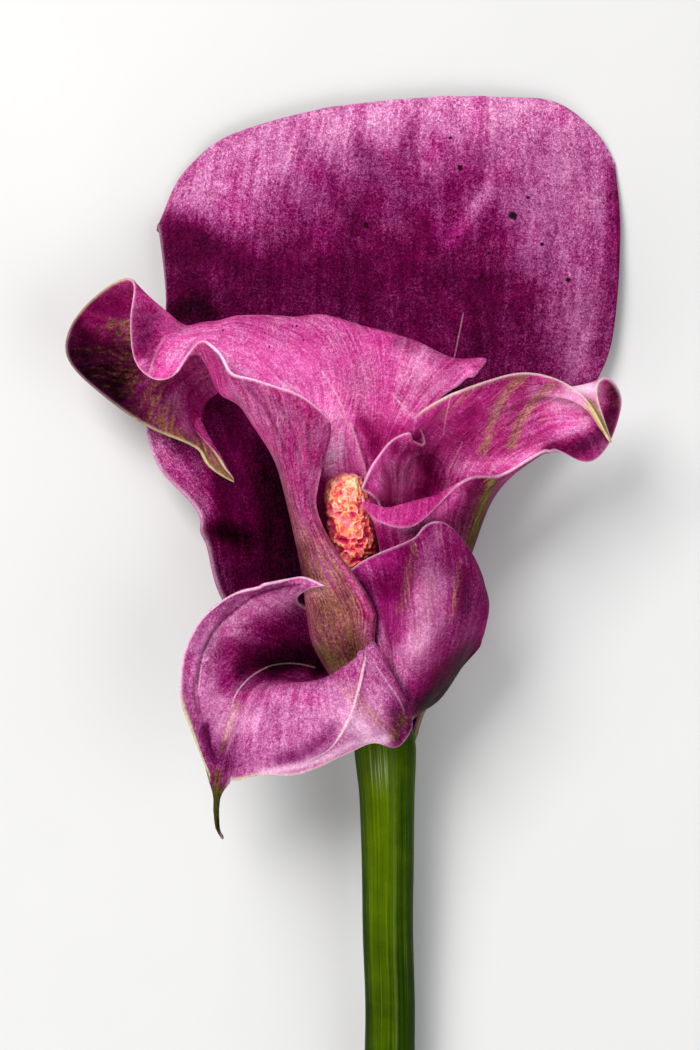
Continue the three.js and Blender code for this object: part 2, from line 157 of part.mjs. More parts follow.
    [[1.76, -6.94, 16.3], [-3.92, -2.02, 16.8], [-10.86, 1.35, 18.4], [-17.36, 2.24, 20.3], [-21.31, -0.97, 23.2], [-24.06, -6.52, 25.9], [-26.69, -15.55, 28.3], [-25.99, -19.62, 28.7]],
    [[1.87, -7.59, 15.5], [-4.32, -1.36, 16.1], [-11.47, 2.3, 17.5], [-18.18, 3.19, 19.5], [-22.42, -0.21, 22.7], [-25.65, -5.95, 25.5], [-27.91, -10.91, 27.5], [-27.86, -14.36, 28.5]],
    [[1.67, -7.24, 14.7], [-4.93, -0.03, 14.9], [-12.5, 4.22, 16.1], [-19.42, 5.51, 18.1], [-24.24, 2.9, 21.7], [-27.86, -1.49, 24.5], [-30.33, -4.34, 26.1], [-31.84, -5.07, 27.1]],
    [[1.67, -6.89, 13.9], [-5.54, 1.53, 14.1], [-13.32, 6.58, 15.1], [-20.24, 8.26, 17.3], [-24.86, 6.83, 21.1], [-28.08, 3.99, 23.9], [-30.56, 2.1, 25.5], [-32.48, 1.16, 26.3]],
    [[1.47, -6.95, 12.9], [-5.75, 3.08, 13.1], [-13.55, 8.94, 14.1], [-19.86, 11.43, 16.7], [-24.08, 11.17, 20.7], [-27.13, 9.28, 23.3], [-29.41, 8.17, 24.9], [-31.54, 7.4, 25.5]],
    [[1.87, -6.83, 11.7], [-5.56, 4.65, 12.3], [-13.36, 11.33, 13.7], [-18.67, 14.01, 16.5], [-21.92, 15.12, 20.3], [-24.19, 14.79, 22.9], [-26.09, 14.24, 24.3], [-28.03, 13.47, 24.9]],
    [[2.48, -6.68, 10.9], [-4.96, 6.03, 11.7], [-12.36, 13.12, 13.5], [-16.68, 16.01, 16.5], [-18.75, 17.29, 20.1], [-20.25, 17.94, 22.5], [-21.58, 17.97, 23.9], [-22.75, 17.78, 24.3]],
    [[3.29, -6.52, 10.3], [-3.96, 7.22, 11.3], [-10.96, 14.32, 13.3], [-14.69, 16.6, 16.3], [-15.99, 18.28, 19.9], [-16.71, 18.92, 22.1], [-17.07, 19.34, 23.5], [-17.44, 19.55, 24.1]],
    [[4.29, -6.34, 9.9], [-2.75, 8.02, 11.1], [-9.36, 14.72, 13.1], [-12.5, 16.8, 16.3], [-13.41, 18.28, 19.9], [-13.35, 19.12, 22.3], [-12.92, 19.94, 23.9], [-12.51, 20.55, 24.7]],
    [[5.3, -6.15, 9.7], [-1.55, 8.42, 11.1], [-7.76, 14.51, 12.9], [-10.7, 16.6, 16.3], [-11.22, 18.09, 20.3], [-10.55, 18.96, 23.9], [-9.52, 20.19, 26.7], [-8.31, 21.4, 28.7]],
    [[6.31, -5.96, 9.5], [-0.34, 8.62, 11.1], [-6.16, 13.9, 12.7], [-9.11, 16, 16.3], [-9.43, 17.3, 20.7], [-8.37, 18.2, 25.3], [-6.55, 19.26, 29.1], [-3.99, 19.7, 31.5]],
  ],
};

const wasm = await Module();
wasm.setup();

// Catmull-Rom weights of a curve through n evenly spaced points, at t from 0 to 1
function weights(n, t) {
  const s = Math.min(Math.floor(t * (n - 1)), n - 2);
  const f = t * (n - 1) - s;
  const w = [
    -0.5 * f + f * f - 0.5 * f ** 3,
    1 - 2.5 * f * f + 1.5 * f ** 3,
    0.5 * f + 2 * f * f - 1.5 * f ** 3,
    -0.5 * f * f + 0.5 * f ** 3,
  ];
  const row = new Array(n).fill(0);
  w.forEach((wk, k) => {
    const i = s - 1 + k;
    if (i < 0) {
      row[0] += 2 * wk;
      row[1] -= wk;
    } else if (i > n - 1) {
      row[n - 1] += 2 * wk;
      row[n - 2] -= wk;
    } else row[i] += wk;
  });
  return row;
}

// Grid of points on the sheet that runs through the ribs
function sheetPoints(ribs, cellsU, cellsV) {
  const points = [];
  for (let a = 0; a <= cellsU; a++) {
    const wu = weights(ribs.length, a / cellsU);
    const line = [];
    for (let b = 0; b <= cellsV; b++) {
      const wv = weights(ribs[0].length, b / cellsV);
      const p = new THREE.Vector3();
      for (let i = 0; i < ribs.length; i++) {
        if (!wu[i]) continue;
        for (let j = 0; j < ribs[0].length; j++) {
          const k = wu[i] * wv[j];
          if (k) p.add(new THREE.Vector3(...ribs[i][j]).multiplyScalar(k));
        }
      }
      line.push(p);
    }
    points.push(line);
  }
  return points;
}

// Unit normals of the grid
function gridNormals(points) {
  const A = points.length - 1;
  const B = points[0].length - 1;
  return points.map((line, a) =>
    line.map((_, b) => {
      const du = points[Math.min(a + 1, A)][b].clone().sub(points[Math.max(a - 1, 0)][b]);
      const dv = points[a][Math.min(b + 1, B)].clone().sub(points[a][Math.max(b - 1, 0)]);
      return du.cross(dv).normalize();
    }),
  );
}

// Closed thin shell on both sides of the sheet
function shellGeometry(ribs, [cellsU, cellsV], extra) {
  const points = sheetPoints(ribs, cellsU, cellsV);
  const normals = gridNormals(points);
  const position = [];
  for (const side of [0.5, -0.5])
    for (let a = 0; a <= cellsU; a++)
      for (let b = 0; b <= cellsV; b++) {
        const t =
          THREE.MathUtils.lerp(SPATHE_BASE_THICKNESS, SPATHE_EDGE_THICKNESS, b / cellsV) + extra;
        const p = points[a][b].clone().addScaledVector(normals[a][b], t * side);
        if (extra > 0) {
          // the clearance solid is also longer at the margin and at both side ribs
          const b1 = b === cellsV ? b - 1 : b === 0 ? 1 : b;
          const a1 = a === cellsU ? a - 1 : a === 0 ? 1 : a;
          if (b1 !== b)
            p.addScaledVector(points[a][b].clone().sub(points[a][b1]).normalize(), extra / 2);
          if (a1 !== a)
            p.addScaledVector(points[a][b].clone().sub(points[a1][b]).normalize(), extra / 2);
        }
        position.push(p.x, p.y, p.z);
      }
  const at = (side, a, b) => side * (cellsU + 1) * (cellsV + 1) + a * (cellsV + 1) + b;
  const index = [];
  const quad = (p, q, r, s) => index.push(p, q, r, p, r, s);
  for (let a = 0; a < cellsU; a++)
    for (let b = 0; b < cellsV; b++) {
      quad(at(0, a, b), at(0, a + 1, b), at(0, a + 1, b + 1), at(0, a, b + 1));
      quad(at(1, a, b), at(1, a, b + 1), at(1, a + 1, b + 1), at(1, a + 1, b));
    }
  const rim = [];
  for (let a = 0; a < cellsU; a++) rim.push([a, 0]);
  for (let b = 0; b < cellsV; b++) rim.push([cellsU, b]);
  for (let a = cellsU; a > 0; a--) rim.push([a, cellsV]);
  for (let b = cellsV; b > 0; b--) rim.push([0, b]);
  rim.forEach(([a, b], i) => {
    const [c, d] = rim[(i + 1) % rim.length];
    quad(at(0, c, d), at(0, a, b), at(1, a, b), at(1, c, d));
  });
  const geometry = new THREE.BufferGeometry();
  geometry.setAttribute("position", new THREE.Float32BufferAttribute(position, 3));
  geometry.setIndex(index);
  return geometry;
}

// Closed round body along a path of points with radii
function rodGeometry(path, sides, extra) {
  const curve = path.map(([x, y, z]) => new THREE.Vector3(x, y, z));
  const position = [];
  curve.forEach((c, k) => {
    const d = curve[Math.min(k + 1, curve.length - 1)]
      .clone()
      .sub(curve[Math.max(k - 1, 0)])
      .normalize();
    const e1 = new THREE.Vector3().crossVectors(d, new THREE.Vector3(0, 0, 1)).normalize();
    const e2 = new THREE.Vector3().crossVectors(d, e1);
    const centre = c.clone();
    if (k === 0) centre.addScaledVector(d, -extra);
    if (k === curve.length - 1) centre.addScaledVector(d, extra);
    for (let j = 0; j < sides; j++) {
      const w = (2 * Math.PI * j) / sides;
      const p = centre
        .clone()
        .addScaledVector(e1, Math.cos(w) * (path[k][3] + extra))
        .addScaledVector(e2, Math.sin(w) * (path[k][3] + extra));
      position.push(p.x, p.y, p.z);
    }
  });
  const index = [];
  const last = curve.length - 1;
  for (let k = 0; k < last; k++)
    for (let j = 0; j < sides; j++) {
      const m = (j + 1) % sides;
      index.push(k * sides + j, k * sides + m, (k + 1) * sides + m);
      index.push(k * sides + j, (k + 1) * sides + m, (k + 1) * sides + j);
    }
  for (let j = 1; j < sides - 1; j++) {
    index.push(0, j + 1, j);
    index.push(last * sides, last * sides + j, last * sides + j + 1);
  }
  const geometry = new THREE.BufferGeometry();
  geometry.setAttribute("position", new THREE.Float32BufferAttribute(position, 3));
  geometry.setIndex(index);
  return geometry;
}

function solid(geometry) {
  const merged = mergeVertices(geometry, 1e-4);
  const made = new wasm.Manifold(
    new wasm.Mesh({
      numProp: 3,
      vertProperties: new Float32Array(merged.attributes.position.array),
      triVerts: new Uint32Array(merged.index.array),
    }),
  );
  if (made.volume() >= 0) return made;
  const flipped = new Uint32Array(merged.index.array);
  for (let i = 0; i < flipped.length; i += 3)
    [flipped[i + 1], flipped[i + 2]] = [flipped[i + 2], flipped[i + 1]];
  return new wasm.Manifold(
    new wasm.Mesh({
      numProp: 3,
      vertProperties: new Float32Array(merged.attributes.position.array),
      triVerts: flipped,
    }),
  );
}

// The largest body of a solid
function mainBody(s) {
  return s.decompose().reduce((best, part) => (part.volume() > best.volume() ? part : best));
}

function geometryOf(s) {
  const mesh = s.getMesh();
  const geometry = new THREE.BufferGeometry();
  const v = [];
  for (let i = 0; i < mesh.vertProperties.length; i += mesh.numProp)
    v.push(mesh.vertProperties[i], mesh.vertProperties[i + 1], mesh.vertProperties[i + 2]);
  geometry.setAttribute("position", new THREE.Float32BufferAttribute(v, 3));
  geometry.setIndex(Array.from(mesh.triVerts));
  return geometry;
}

// Pieces in the order in which they keep their shape: each later one is cut back, with a gap,
// where it meets the ones before it at the crowded foot of the flower
const PIECES = [
  ["stem", 0x7f9c1c, 0.55],
  ["front_spathe", 0xc76bb4, 0.5],
  ["lower_right_spathe", 0x9c2b86, 0.5],
  ["middle_spathe", 0xd25aa6, 0.5],
  ["right_spathe", 0xb04a8c, 0.5],
  ["back_spathe", 0x7d2166, 0.5],
  ["spadix", 0xe89a4e, 0.7],
];

function pieceGeometry(name, extra) {
  if (name === "stem") return rodGeometry(STEM_PATH, STEM_SIDES, extra / 2);
  if (name === "spadix") return rodGeometry(SPADIX_PATH, SPADIX_SIDES, extra / 2);
  return shellGeometry(RIBS[name], CELLS[name], extra);
}

const flower = new THREE.Group();
flower.name = "calla_lily_flower";
const clearances = [];
for (const [name, colour, roughness] of PIECES) {
  let body = solid(pieceGeometry(name, 0));
  for (const taken of clearances) body = body.subtract(taken);
  body = mainBody(body);
  clearances.push(solid(pieceGeometry(name, 2 * GAP)));
  const mesh = new THREE.Mesh(
    geometryOf(body),
    new THREE.MeshStandardMaterial({ color: colour, roughness, metalness: 0 }),
  );
  mesh.name = name;
  flower.add(mesh);
}

export default flower;
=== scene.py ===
import math

import bmesh
import bpy
import numpy as np
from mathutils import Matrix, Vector, kdtree


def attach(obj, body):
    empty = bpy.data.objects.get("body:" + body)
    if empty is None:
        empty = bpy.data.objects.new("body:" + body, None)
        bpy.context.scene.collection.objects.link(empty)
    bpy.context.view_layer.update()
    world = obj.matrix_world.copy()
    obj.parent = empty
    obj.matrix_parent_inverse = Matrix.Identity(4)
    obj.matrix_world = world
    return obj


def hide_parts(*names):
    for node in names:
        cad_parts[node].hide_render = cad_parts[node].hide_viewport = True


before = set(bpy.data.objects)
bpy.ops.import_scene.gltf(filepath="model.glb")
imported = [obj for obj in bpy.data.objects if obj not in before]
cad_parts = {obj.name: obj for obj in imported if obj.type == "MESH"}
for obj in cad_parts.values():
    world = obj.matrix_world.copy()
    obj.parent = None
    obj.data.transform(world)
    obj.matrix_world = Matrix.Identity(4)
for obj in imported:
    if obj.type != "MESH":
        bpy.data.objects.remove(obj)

scene = bpy.context.scene
bpy.context.view_layer.update()

# A calla lily flower lying on its back. The shapes below are in millimetres, in the frame of the CAD model.
# A spathe is a thin sheet through its ribs, from the base to the margin.
RIBS = {
    "middle_spathe": [
        [(7.65, -5.75, 16.1), (5.4, 8.52, 23.9), (5.57, 14.5, 26.3), (1.26, 21.59, 28.3), (-2.84, 27.46, 28.7), (-5.96, 34.29, 29.9), (-5.55, 39.92, 31.3), (-4.37, 44.18, 32.3), (-3.2, 48.03, 33.3), (-3, 51.1, 34.3)],
        [(7.04, -5.69, 17.1), (4.4, 8.78, 25.5), (4.97, 14.36, 28.3), (0.87, 21.82, 30.3), (-3.22, 27.67, 31.5), (-6.71, 34.09, 31.7), (-6.11, 39.51, 32.9), (-4.94, 44.53, 34.1), (-3.77, 48.75, 35.3), (-3.76, 52.58, 36.1)],
        [(6.24, -5.65, 17.7), (2.44, 7.99, 25.5), (2.04, 14.95, 28.3), (-1.47, 22.41, 30.3), (-4.58, 27.67, 31.5), (-7.67, 34.47, 32.7), (-8.23, 40.27, 34.1), (-8.4, 46.04, 35.5), (-8.38, 51.02, 36.7), (-8.57, 56.59, 37.1)],
        [(5.04, -5.64, 17.9), (-1.49, 7.43, 26.1), (-3.05, 14.92, 27.5), (-5.97, 21.79, 28.3), (-7.72, 27.66, 29.3), (-10.43, 35.46, 30.3), (-11.95, 42.25, 31.9), (-13.08, 48.8, 33.7), (-14.01, 53.78, 35.1), (-15.72, 59.15, 35.9)],
        [(4.05, -5.66, 17.5), (-4.45, 6.53, 23.5), (-6.61, 14.44, 24.3), (-8.18, 21.33, 24.7), (-9.55, 28.22, 25.1), (-11.51, 35.88, 25.5), (-13.64, 43.12, 26.7), (-16.33, 48.96, 28.3), (-19.36, 55.1, 31.1), (-21.77, 62.13, 34.3)],
        [(3.06, -5.74, 16.3), (-5.48, 6.37, 19.7), (-7.26, 14.31, 19.9), (-8.25, 21.85, 20.3), (-9.64, 28.98, 20.1), (-11.42, 36.52, 20.1), (-13.77, 44.03, 21.1), (-17.26, 50.28, 23.5), (-21.07, 56.44, 27.1), (-24.97, 66.14, 31.9)],
        [(2.67, -5.81, 15.1), (-5.31, 6.66, 17.1), (-6.7, 14.64, 17.5), (-7.5, 22.6, 17.3), (-8.31, 30.56, 16.5), (-9.9, 38.94, 16.3), (-12.47, 46.49, 17.5), (-16.57, 52.77, 20.1), (-23.16, 58.54, 23.9), (-28.2, 67.84, 29.5)],
        [(2.71, -5.84, 14.74), (-5.16, 6.75, 16.44), (-6.47, 14.74, 16.78), (-7.35, 22.85, 16.48), (-8.22, 31.86, 15.86), (-9.93, 50.55, 15.1), (-15.05, 58.02, 17.9), (-21.29, 62.63, 21.1), (-27.45, 65.98, 24.7), (-31.25, 64.47, 27.1)],
        [(2.73, -5.86, 14.38), (-5, 6.87, 15.78), (-6.24, 14.86, 16.06), (-7.16, 23.09, 15.64), (-8.14, 33.14, 15.22), (-8.14, 52.99, 13.9), (-13.09, 61.46, 16.7), (-19.95, 66.65, 19.9), (-27.87, 68.95, 24.3), (-34, 60.55, 27.1)],
        [(2.77, -5.88, 14.04), (-4.65, 7.02, 15.2), (-5.84, 15.02, 15.42), (-6.83, 23.46, 14.94), (-7.95, 34.48, 14.72), (-6.55, 55.02, 13.1), (-11.91, 64.1, 15.9), (-19.57, 69.27, 19.3), (-31.43, 69.37, 23.9), (-37.94, 60.18, 26.7)],
        [(2.87, -5.9, 13.68), (-4.13, 7.22, 14.8), (-5.33, 15.21, 14.88), (-6.34, 23.96, 14.38), (-7.68, 35.86, 14.36), (-5.35, 56.64, 12.7), (-10.92, 65.73, 15.3), (-19.6, 70.7, 18.7), (-33.49, 70.66, 22.3), (-41.61, 64.01, 24.7)],
        [(3.05, -5.92, 13.38), (-3.55, 7.43, 14.48), (-4.78, 15.43, 14.42), (-5.78, 24.45, 13.92), (-7.4, 37.25, 14.06), (-4.15, 57.66, 12.5), (-10.13, 66.95, 14.9), (-19.62, 71.75, 17.9), (-34.38, 72.35, 20.7), (-42.49, 71.96, 23.5)],
        [(3.25, -5.94, 13.08), (-2.98, 7.66, 14.2), (-4.16, 15.66, 14.02), (-5.16, 24.93, 13.52), (-7.08, 38.63, 13.8), (-3.15, 58.47, 12.3), (-9.13, 67.96, 14.7), (-19.46, 72.41, 16.9), (-35.69, 74.47, 18.7), (-41.87, 79.84, 21.1)],
        [(3.52, -5.96, 12.82), (-2.36, 7.87, 13.96), (-3.5, 15.89, 13.68), (-4.49, 25.39, 13.18), (-6.71, 40, 13.52), (-2.35, 59.07, 12.3), (-8.14, 68.57, 14.5), (-18.71, 73.11, 15.5), (-37.13, 74.36, 14.7), (-46.48, 79.7, 17.9)],
        [(3.8, -5.97, 12.62), (-1.72, 8.06, 13.76), (-2.82, 16.13, 13.42), (-3.77, 25.82, 12.9), (-6.21, 41.32, 13.22), (-1.54, 59.47, 12.3), (-7.34, 68.99, 14.3), (-17.95, 73.59, 14.3), (-38.11, 71.75, 11.9), (-54.22, 72.88, 15.9)],
        [(4.12, -5.98, 12.46), (-1.08, 8.28, 13.62), (-2.1, 16.34, 13.22), (-3.03, 26.22, 12.68), (-5.59, 42.59, 12.9), (-0.74, 59.67, 12.3), (-6.54, 69.4, 14.1), (-16.77, 73.66, 13.3), (-37.79, 67.8, 10.7), (-55.89, 64.94, 15.1)],
        [(4.48, -5.99, 12.36), (-0.42, 8.5, 13.52), (-1.38, 16.58, 13.06), (-2.22, 26.58, 12.48), (-4.87, 43.8, 12.56), (0.06, 59.87, 12.3), (-5.54, 69.61, 13.9), (-15.6, 73.33, 12.3), (-36.2, 64.4, 10.3), (-48.33, 57.16, 14.7)],
        [(4.82, -5.99, 12.3), (0.25, 8.71, 13.44), (-0.64, 16.78, 12.96), (-1.42, 26.9, 12.3), (-4.01, 44.94, 12.24), (0.87, 60.07, 12.3), (-4.54, 69.81, 13.9), (-14.41, 72.77, 11.7), (-33.78, 61.18, 10.3), (-39.11, 50.95, 15.1)],
        [(5.18, -5.99, 12.3), (0.91, 8.93, 13.42), (0.11, 16.98, 12.92), (-0.58, 27.16, 12.18), (-2.97, 45.91, 11.96), (1.67, 60.07, 12.3), (-3.54, 70.01, 13.9), (-13.22, 72.2, 11.1), (-31.36, 57.94, 10.5), (-29.49, 46.94, 15.5)],
        [(5.55, -5.99, 12.34), (1.57, 9.15, 13.44), (0.87, 17.2, 12.9), (0.28, 27.4, 12.1), (-1.75, 46.62, 11.72), (1.97, 60.07, 12.3), (-3.14, 70.01, 13.9), (-12.82, 71.91, 10.9), (-30.34, 56.73, 10.7), (-26.89, 42.94, 15.7)],
        [(5.89, -5.98, 12.42), (2.23, 9.36, 13.52), (1.61, 17.42, 12.92), (1.15, 27.6, 12.12), (-0.38, 47.12, 11.54), (2.27, 60.07, 12.3), (-2.74, 70.01, 13.9), (-12.42, 71.63, 10.7), (-29.53, 56.32, 10.7), (-22.09, 39.94, 15.9)],
        [(6.23, -5.97, 12.56), (2.89, 9.54, 13.64), (2.33, 17.7, 12.98), (2.01, 27.79, 12.2), (1.01, 47.47, 11.42), (2.57, 59.97, 12.4), (-2.34, 70.01, 13.9), (-12.02, 71.34, 10.5), (-28.94, 55.93, 10.5), (-24.31, 42.95, 15.3)],
        [(6.53, -5.98, 12.74), (3.55, 9.69, 13.84), (3.05, 17.96, 13.1), (2.85, 27.91, 12.4), (2.46, 47.61, 11.38), (2.87, 59.86, 12.5), (-1.94, 70.01, 13.9), (-11.62, 71.05, 10.3), (-29.37, 57.57, 9.9), (-26.75, 46.57, 14.3)],
        [(6.8, -5.97, 12.96), (4.17, 9.74, 14.16), (3.75, 18.15, 13.34), (3.7, 27.95, 12.7), (3.86, 47.38, 11.54), (3.88, 59.66, 12.5), (-0.53, 69.81, 13.9), (-9.62, 70.09, 9.5), (-30.22, 60.83, 9.1), (-33.81, 55.95, 9.9)],
        [(7.04, -5.95, 13.22), (4.71, 9.68, 14.58), (4.41, 18.16, 13.74), (4.44, 27.83, 13.16), (5.09, 46.75, 12), (5.28, 59.05, 12.7), (1.87, 69.41, 13.9), (-4.18, 70.09, 9.5), (-19.36, 64.53, 7.9), (-26.46, 62.53, 7.5)],
        [(7.18, -5.87, 13.54), (5.16, 9.53, 15.08), (4.97, 18.05, 14.26), (5.05, 27.59, 13.76), (6.09, 45.87, 12.6), (7.48, 57.83, 13.1), (6.87, 68.2, 14.1), (4.48, 70.74, 11.9), (-1.16, 66.96, 7.9), (-5.21, 63.36, 7.1)],
        [(7.28, -5.75, 13.88), (5.52, 9.35, 15.62), (5.37, 17.93, 14.9), (5.55, 27.3, 14.42), (6.86, 44.83, 13.24), (9.88, 56.2, 13.7), (12.86, 65.34, 15.1), (13.88, 68.41, 13.9), (12.55, 66.41, 10.3), (11.37, 64.08, 8.7)],
        [(7.33, -5.65, 14.22), (5.75, 9.14, 16.24), (5.58, 17.76, 15.62), (5.84, 26.94, 15.16), (7.44, 43.7, 13.92), (11.87, 54.16, 14.7), (16.82, 61.28, 16.3), (20, 64.45, 16.7), (20.85, 64.94, 15.1), (21.32, 63.45, 13.1)],
        [(7.39, -5.53, 14.56), (5.89, 8.9, 16.88), (5.71, 17.58, 16.36), (6.04, 26.55, 15.94), (7.95, 42.52, 14.62), (12.84, 52.12, 15.9), (18.38, 58.43, 17.7), (22.32, 62.16, 18.7), (24.89, 63.72, 19.1), (28.1, 64.56, 18.3)],
        [(7.47, -5.43, 14.9), (6.04, 8.67, 17.5), (5.85, 17.42, 17.1), (6.25, 26.18, 16.7), (8.46, 41.35, 15.3), (13.22, 50.48, 17.1), (18.74, 56.77, 19.1), (22.27, 59.1, 20.3), (23.82, 60.65, 21.1), (25.39, 60.83, 21.5)],
    ],
    "back_spathe": [
        [(1.67, -11.93, 13.5), (-0.33, -6.69, 13.9), (-11.59, 3.63, 11.9), (-24.42, 15.71, 12.7), (-27.63, 26.14, 12.7), (-28.83, 32.16, 12.7), (-31.26, 36.58, 12.3), (-37.79, 43.44, 10.7), (-40.77, 54.81, 8.3), (-39.67, 63.78, 6.7), (-36.52, 74.84, 5.1), (-38.05, 91.25, 3.5), (-38.47, 91.59, 0.1)],
        [(1.47, -13.05, 11.9), (-0.34, -7.38, 12.5), (-10.83, 3.34, 9.9), (-22.08, 15.25, 10.7), (-24.92, 26.12, 10.3), (-25.73, 32.17, 10.3), (-28.16, 36.6, 9.9), (-34.28, 44.29, 8.7), (-37.61, 54.85, 7.1), (-37.27, 63.82, 6.1), (-34.49, 75.66, 5.1), (-34.95, 91.2, 4.1), (-33.91, 102.97, 0.9)],
        [(2.28, -14.2, 9.9), (0.87, -8.13, 10.3), (-8.85, 2.6, 7.1), (-17.79, 14.73, 6.3), (-20.24, 26.08, 5.9), (-21.05, 32.17, 5.9), (-22.27, 37.45, 5.9), (-26.34, 45.17, 5.5), (-29.61, 55.34, 5.1), (-30.43, 65.09, 5.1), (-28.79, 76.45, 5.3), (-28.39, 91.1, 5.1), (-25.26, 110.36, 2.3)],
        [(4.1, -15.15, 8.1), (3.29, -8.87, 8.3), (-4.21, 2.1, 5.1), (-10.13, 14.66, 3.9), (-11.77, 26.06, 3.3), (-12.18, 32.58, 3.3), (-12.99, 38.69, 3.3), (-15.43, 47.86, 3.5), (-17.86, 57.42, 3.9), (-18.66, 67.16, 4.5), (-18.23, 76.87, 5.1), (-17.81, 91.04, 5.7), (-14.42, 114.13, 3.1)],
        [(6.34, -15.63, 7.1), (5.73, -9.35, 7.1), (1.27, 1.63, 3.9), (-1.58, 14.21, 2.3), (-2.4, 26.05, 1.9), (-2.4, 32.99, 1.7), (-2.81, 39.12, 1.7), (-4.04, 48.92, 1.9), (-5.66, 59.1, 2.7), (-6.46, 68.42, 3.7), (-6.66, 77.31, 4.7), (-6.44, 92.44, 5.9), (-3.21, 116.78, 3.1)],
        [(8.57, -15.65, 6.9), (8.16, -9.58, 6.7), (6.98, 1.63, 3.9), (6.99, 14.21, 2.3), (7.41, 26.45, 1.7), (7.82, 33.4, 1.5), (8.23, 39.53, 1.5), (8.22, 48.92, 1.9), (7.8, 59.51, 2.7), (7.38, 68.42, 3.7), (6.97, 77.3, 4.9), (6.95, 93.84, 6.1), (8.61, 118.2, 3.1)],
        [(10.58, -15.19, 7.5), (10.58, -9.12, 7.5), (12.65, 2.1, 5.1), (14.72, 14.66, 3.7), (15.95, 26.87, 3.1), (16.77, 33.8, 3.1), (17.58, 39.92, 3.1), (19.21, 49.29, 3.3), (20.01, 59.46, 3.7), (20.4, 68.39, 4.3), (20.37, 77.28, 5.1), (20.34, 94.65, 6.1), (21.26, 119.05, 2.9)],
        [(12.18, -14.08, 8.9), (12.77, -8.19, 9.3), (17.07, 2.6, 7.1), (19.94, 15.12, 5.9), (21.58, 27.3, 5.5), (22.8, 34.2, 5.5), (24.42, 40.7, 5.5), (28.09, 49.64, 5.3), (30.93, 58.98, 5.3), (32.34, 67.91, 5.5), (32.94, 77.24, 5.7), (33.74, 94.67, 5.9), (32.5, 118.9, 2.5)],
        [(13.15, -12.73, 10.7), (14.34, -7.26, 11.3), (19.04, 3.5, 9.1), (22.09, 16, 8.3), (23.72, 28.12, 7.9), (25.14, 35, 7.9), (27.58, 41.07, 7.5), (33.7, 48.79, 6.7), (39.01, 57.73, 6.1), (41.87, 67.09, 5.7), (43.51, 76.84, 5.5), (44.77, 93.96, 4.9), (42.96, 118.2, 1.7)],
        [(13.52, -11.61, 12.3), (14.91, -6.57, 12.7), (19.81, 3.96, 10.3), (22.86, 16.43, 9.5), (24.49, 28.53, 9.1), (25.9, 35.4, 9.1), (28.76, 41.06, 8.3), (36.54, 47.57, 6.7), (44.32, 56.13, 5.5), (49.28, 66.34, 4.5), (51.56, 76.96, 3.9), (52.45, 93.33, 3.1), (51.18, 112.15, 1.1)],
        [(13.69, -10.52, 13.5), (15.29, -5.69, 13.9), (20.18, 4.4, 11.1), (23.23, 16.85, 10.3), (24.86, 28.94, 9.9), (26.48, 35.8, 9.7), (29.54, 41.05, 8.9), (37.75, 47.17, 6.7), (46.79, 54.93, 5.1), (53.23, 65.18, 3.5), (55.32, 77.04, 2.9), (56.06, 93.49, 1.5), (55.13, 105.69, 0.38)],
    ],
    "right_spathe": [
        [(9.16, -6.59, 15.5), (8.11, 8.35, 19.5), (7.36, 21.73, 24.7), (6.15, 29.6, 27.3), (4.77, 33.71, 28.9), (3.4, 35.46, 29.3), (3.21, 36.43, 29.9), (3.2, 37.02, 30.3)],
        [(9.92, -6.94, 16.3), (9.42, 8.41, 21.1), (9.12, 21.74, 25.5), (6.81, 29.6, 27.9), (5.55, 33.7, 29.9), (4.95, 35.65, 31.1), (4.56, 35.44, 32.1), (4.56, 33.7, 32.3)],
        [(10.36, -7.1, 16.9), (10.34, 8.44, 21.9), (9.86, 21.75, 25.9), (8.86, 29.61, 28.7), (8.27, 33.12, 30.3), (7.86, 34.86, 31.7), (7.27, 34.08, 32.9), (6.88, 31.95, 32.9)],
        [(11.03, -7.08, 17.1), (11.73, 8.46, 22.3), (11.85, 21.75, 26.3), (11.41, 29.61, 29.1), (10.99, 33.7, 30.7), (10.97, 35.64, 32.1), (10.75, 33.69, 33.5), (10.56, 30.98, 33.3)],
        [(12.03, -6.9, 16.9), (13.51, 8.45, 22.1), (14.41, 21.75, 25.9), (14.54, 29.61, 28.7), (14.49, 34.48, 30.7), (14.66, 36.61, 32.1), (14.43, 34.86, 33.3), (14.05, 31.75, 33.1)],
        [(12.64, -6.74, 16.3), (15.11, 8.41, 21.1), (16.99, 21.73, 24.7), (18.1, 29.6, 27.1), (18.42, 34.49, 29.5), (18.76, 37.01, 31.1), (19.12, 37.97, 32.1), (19.69, 36.99, 32.5)],
        [(13.05, -6.39, 15.5), (16.33, 8.36, 19.9), (19.21, 21.7, 23.1), (20.9, 29.6, 25.5), (21.8, 34.89, 27.9), (22.68, 38.38, 30.3), (23.22, 39.92, 31.5), (23.78, 40.68, 32.3)],
        [(13.27, -6.05, 14.5), (17.37, 8.5, 18.3), (21.45, 22.06, 21.1), (23.74, 29.59, 23.1), (25.61, 34.9, 25.5), (27.84, 38.4, 28.3), (29.31, 40.33, 30.3), (30.44, 41.48, 31.1)],
        [(13.29, -5.71, 13.5), (18.22, 8.62, 16.3), (23.12, 22.62, 18.7), (25.83, 30.57, 20.3), (28.51, 36.5, 22.3), (31.92, 40.8, 25.1), (35.32, 43.5, 27.5), (38.18, 46.02, 28.7)],
        [(13.11, -5.36, 12.7), (18.47, 8.75, 14.5), (23.81, 23.38, 16.3), (26.33, 32.16, 17.9), (29.4, 38.5, 20.3), (33.97, 43.19, 23.5), (38.8, 45.91, 25.1), (41.38, 46.51, 24.7)],
        [(12.72, -5, 12.1), (18.31, 8.9, 13.1), (23.48, 24.16, 14.3), (26, 34.15, 16.3), (29.81, 41.67, 19.9), (37.47, 47.11, 24.3), (44.56, 48.68, 24.3), (48.05, 43.85, 19.9)],
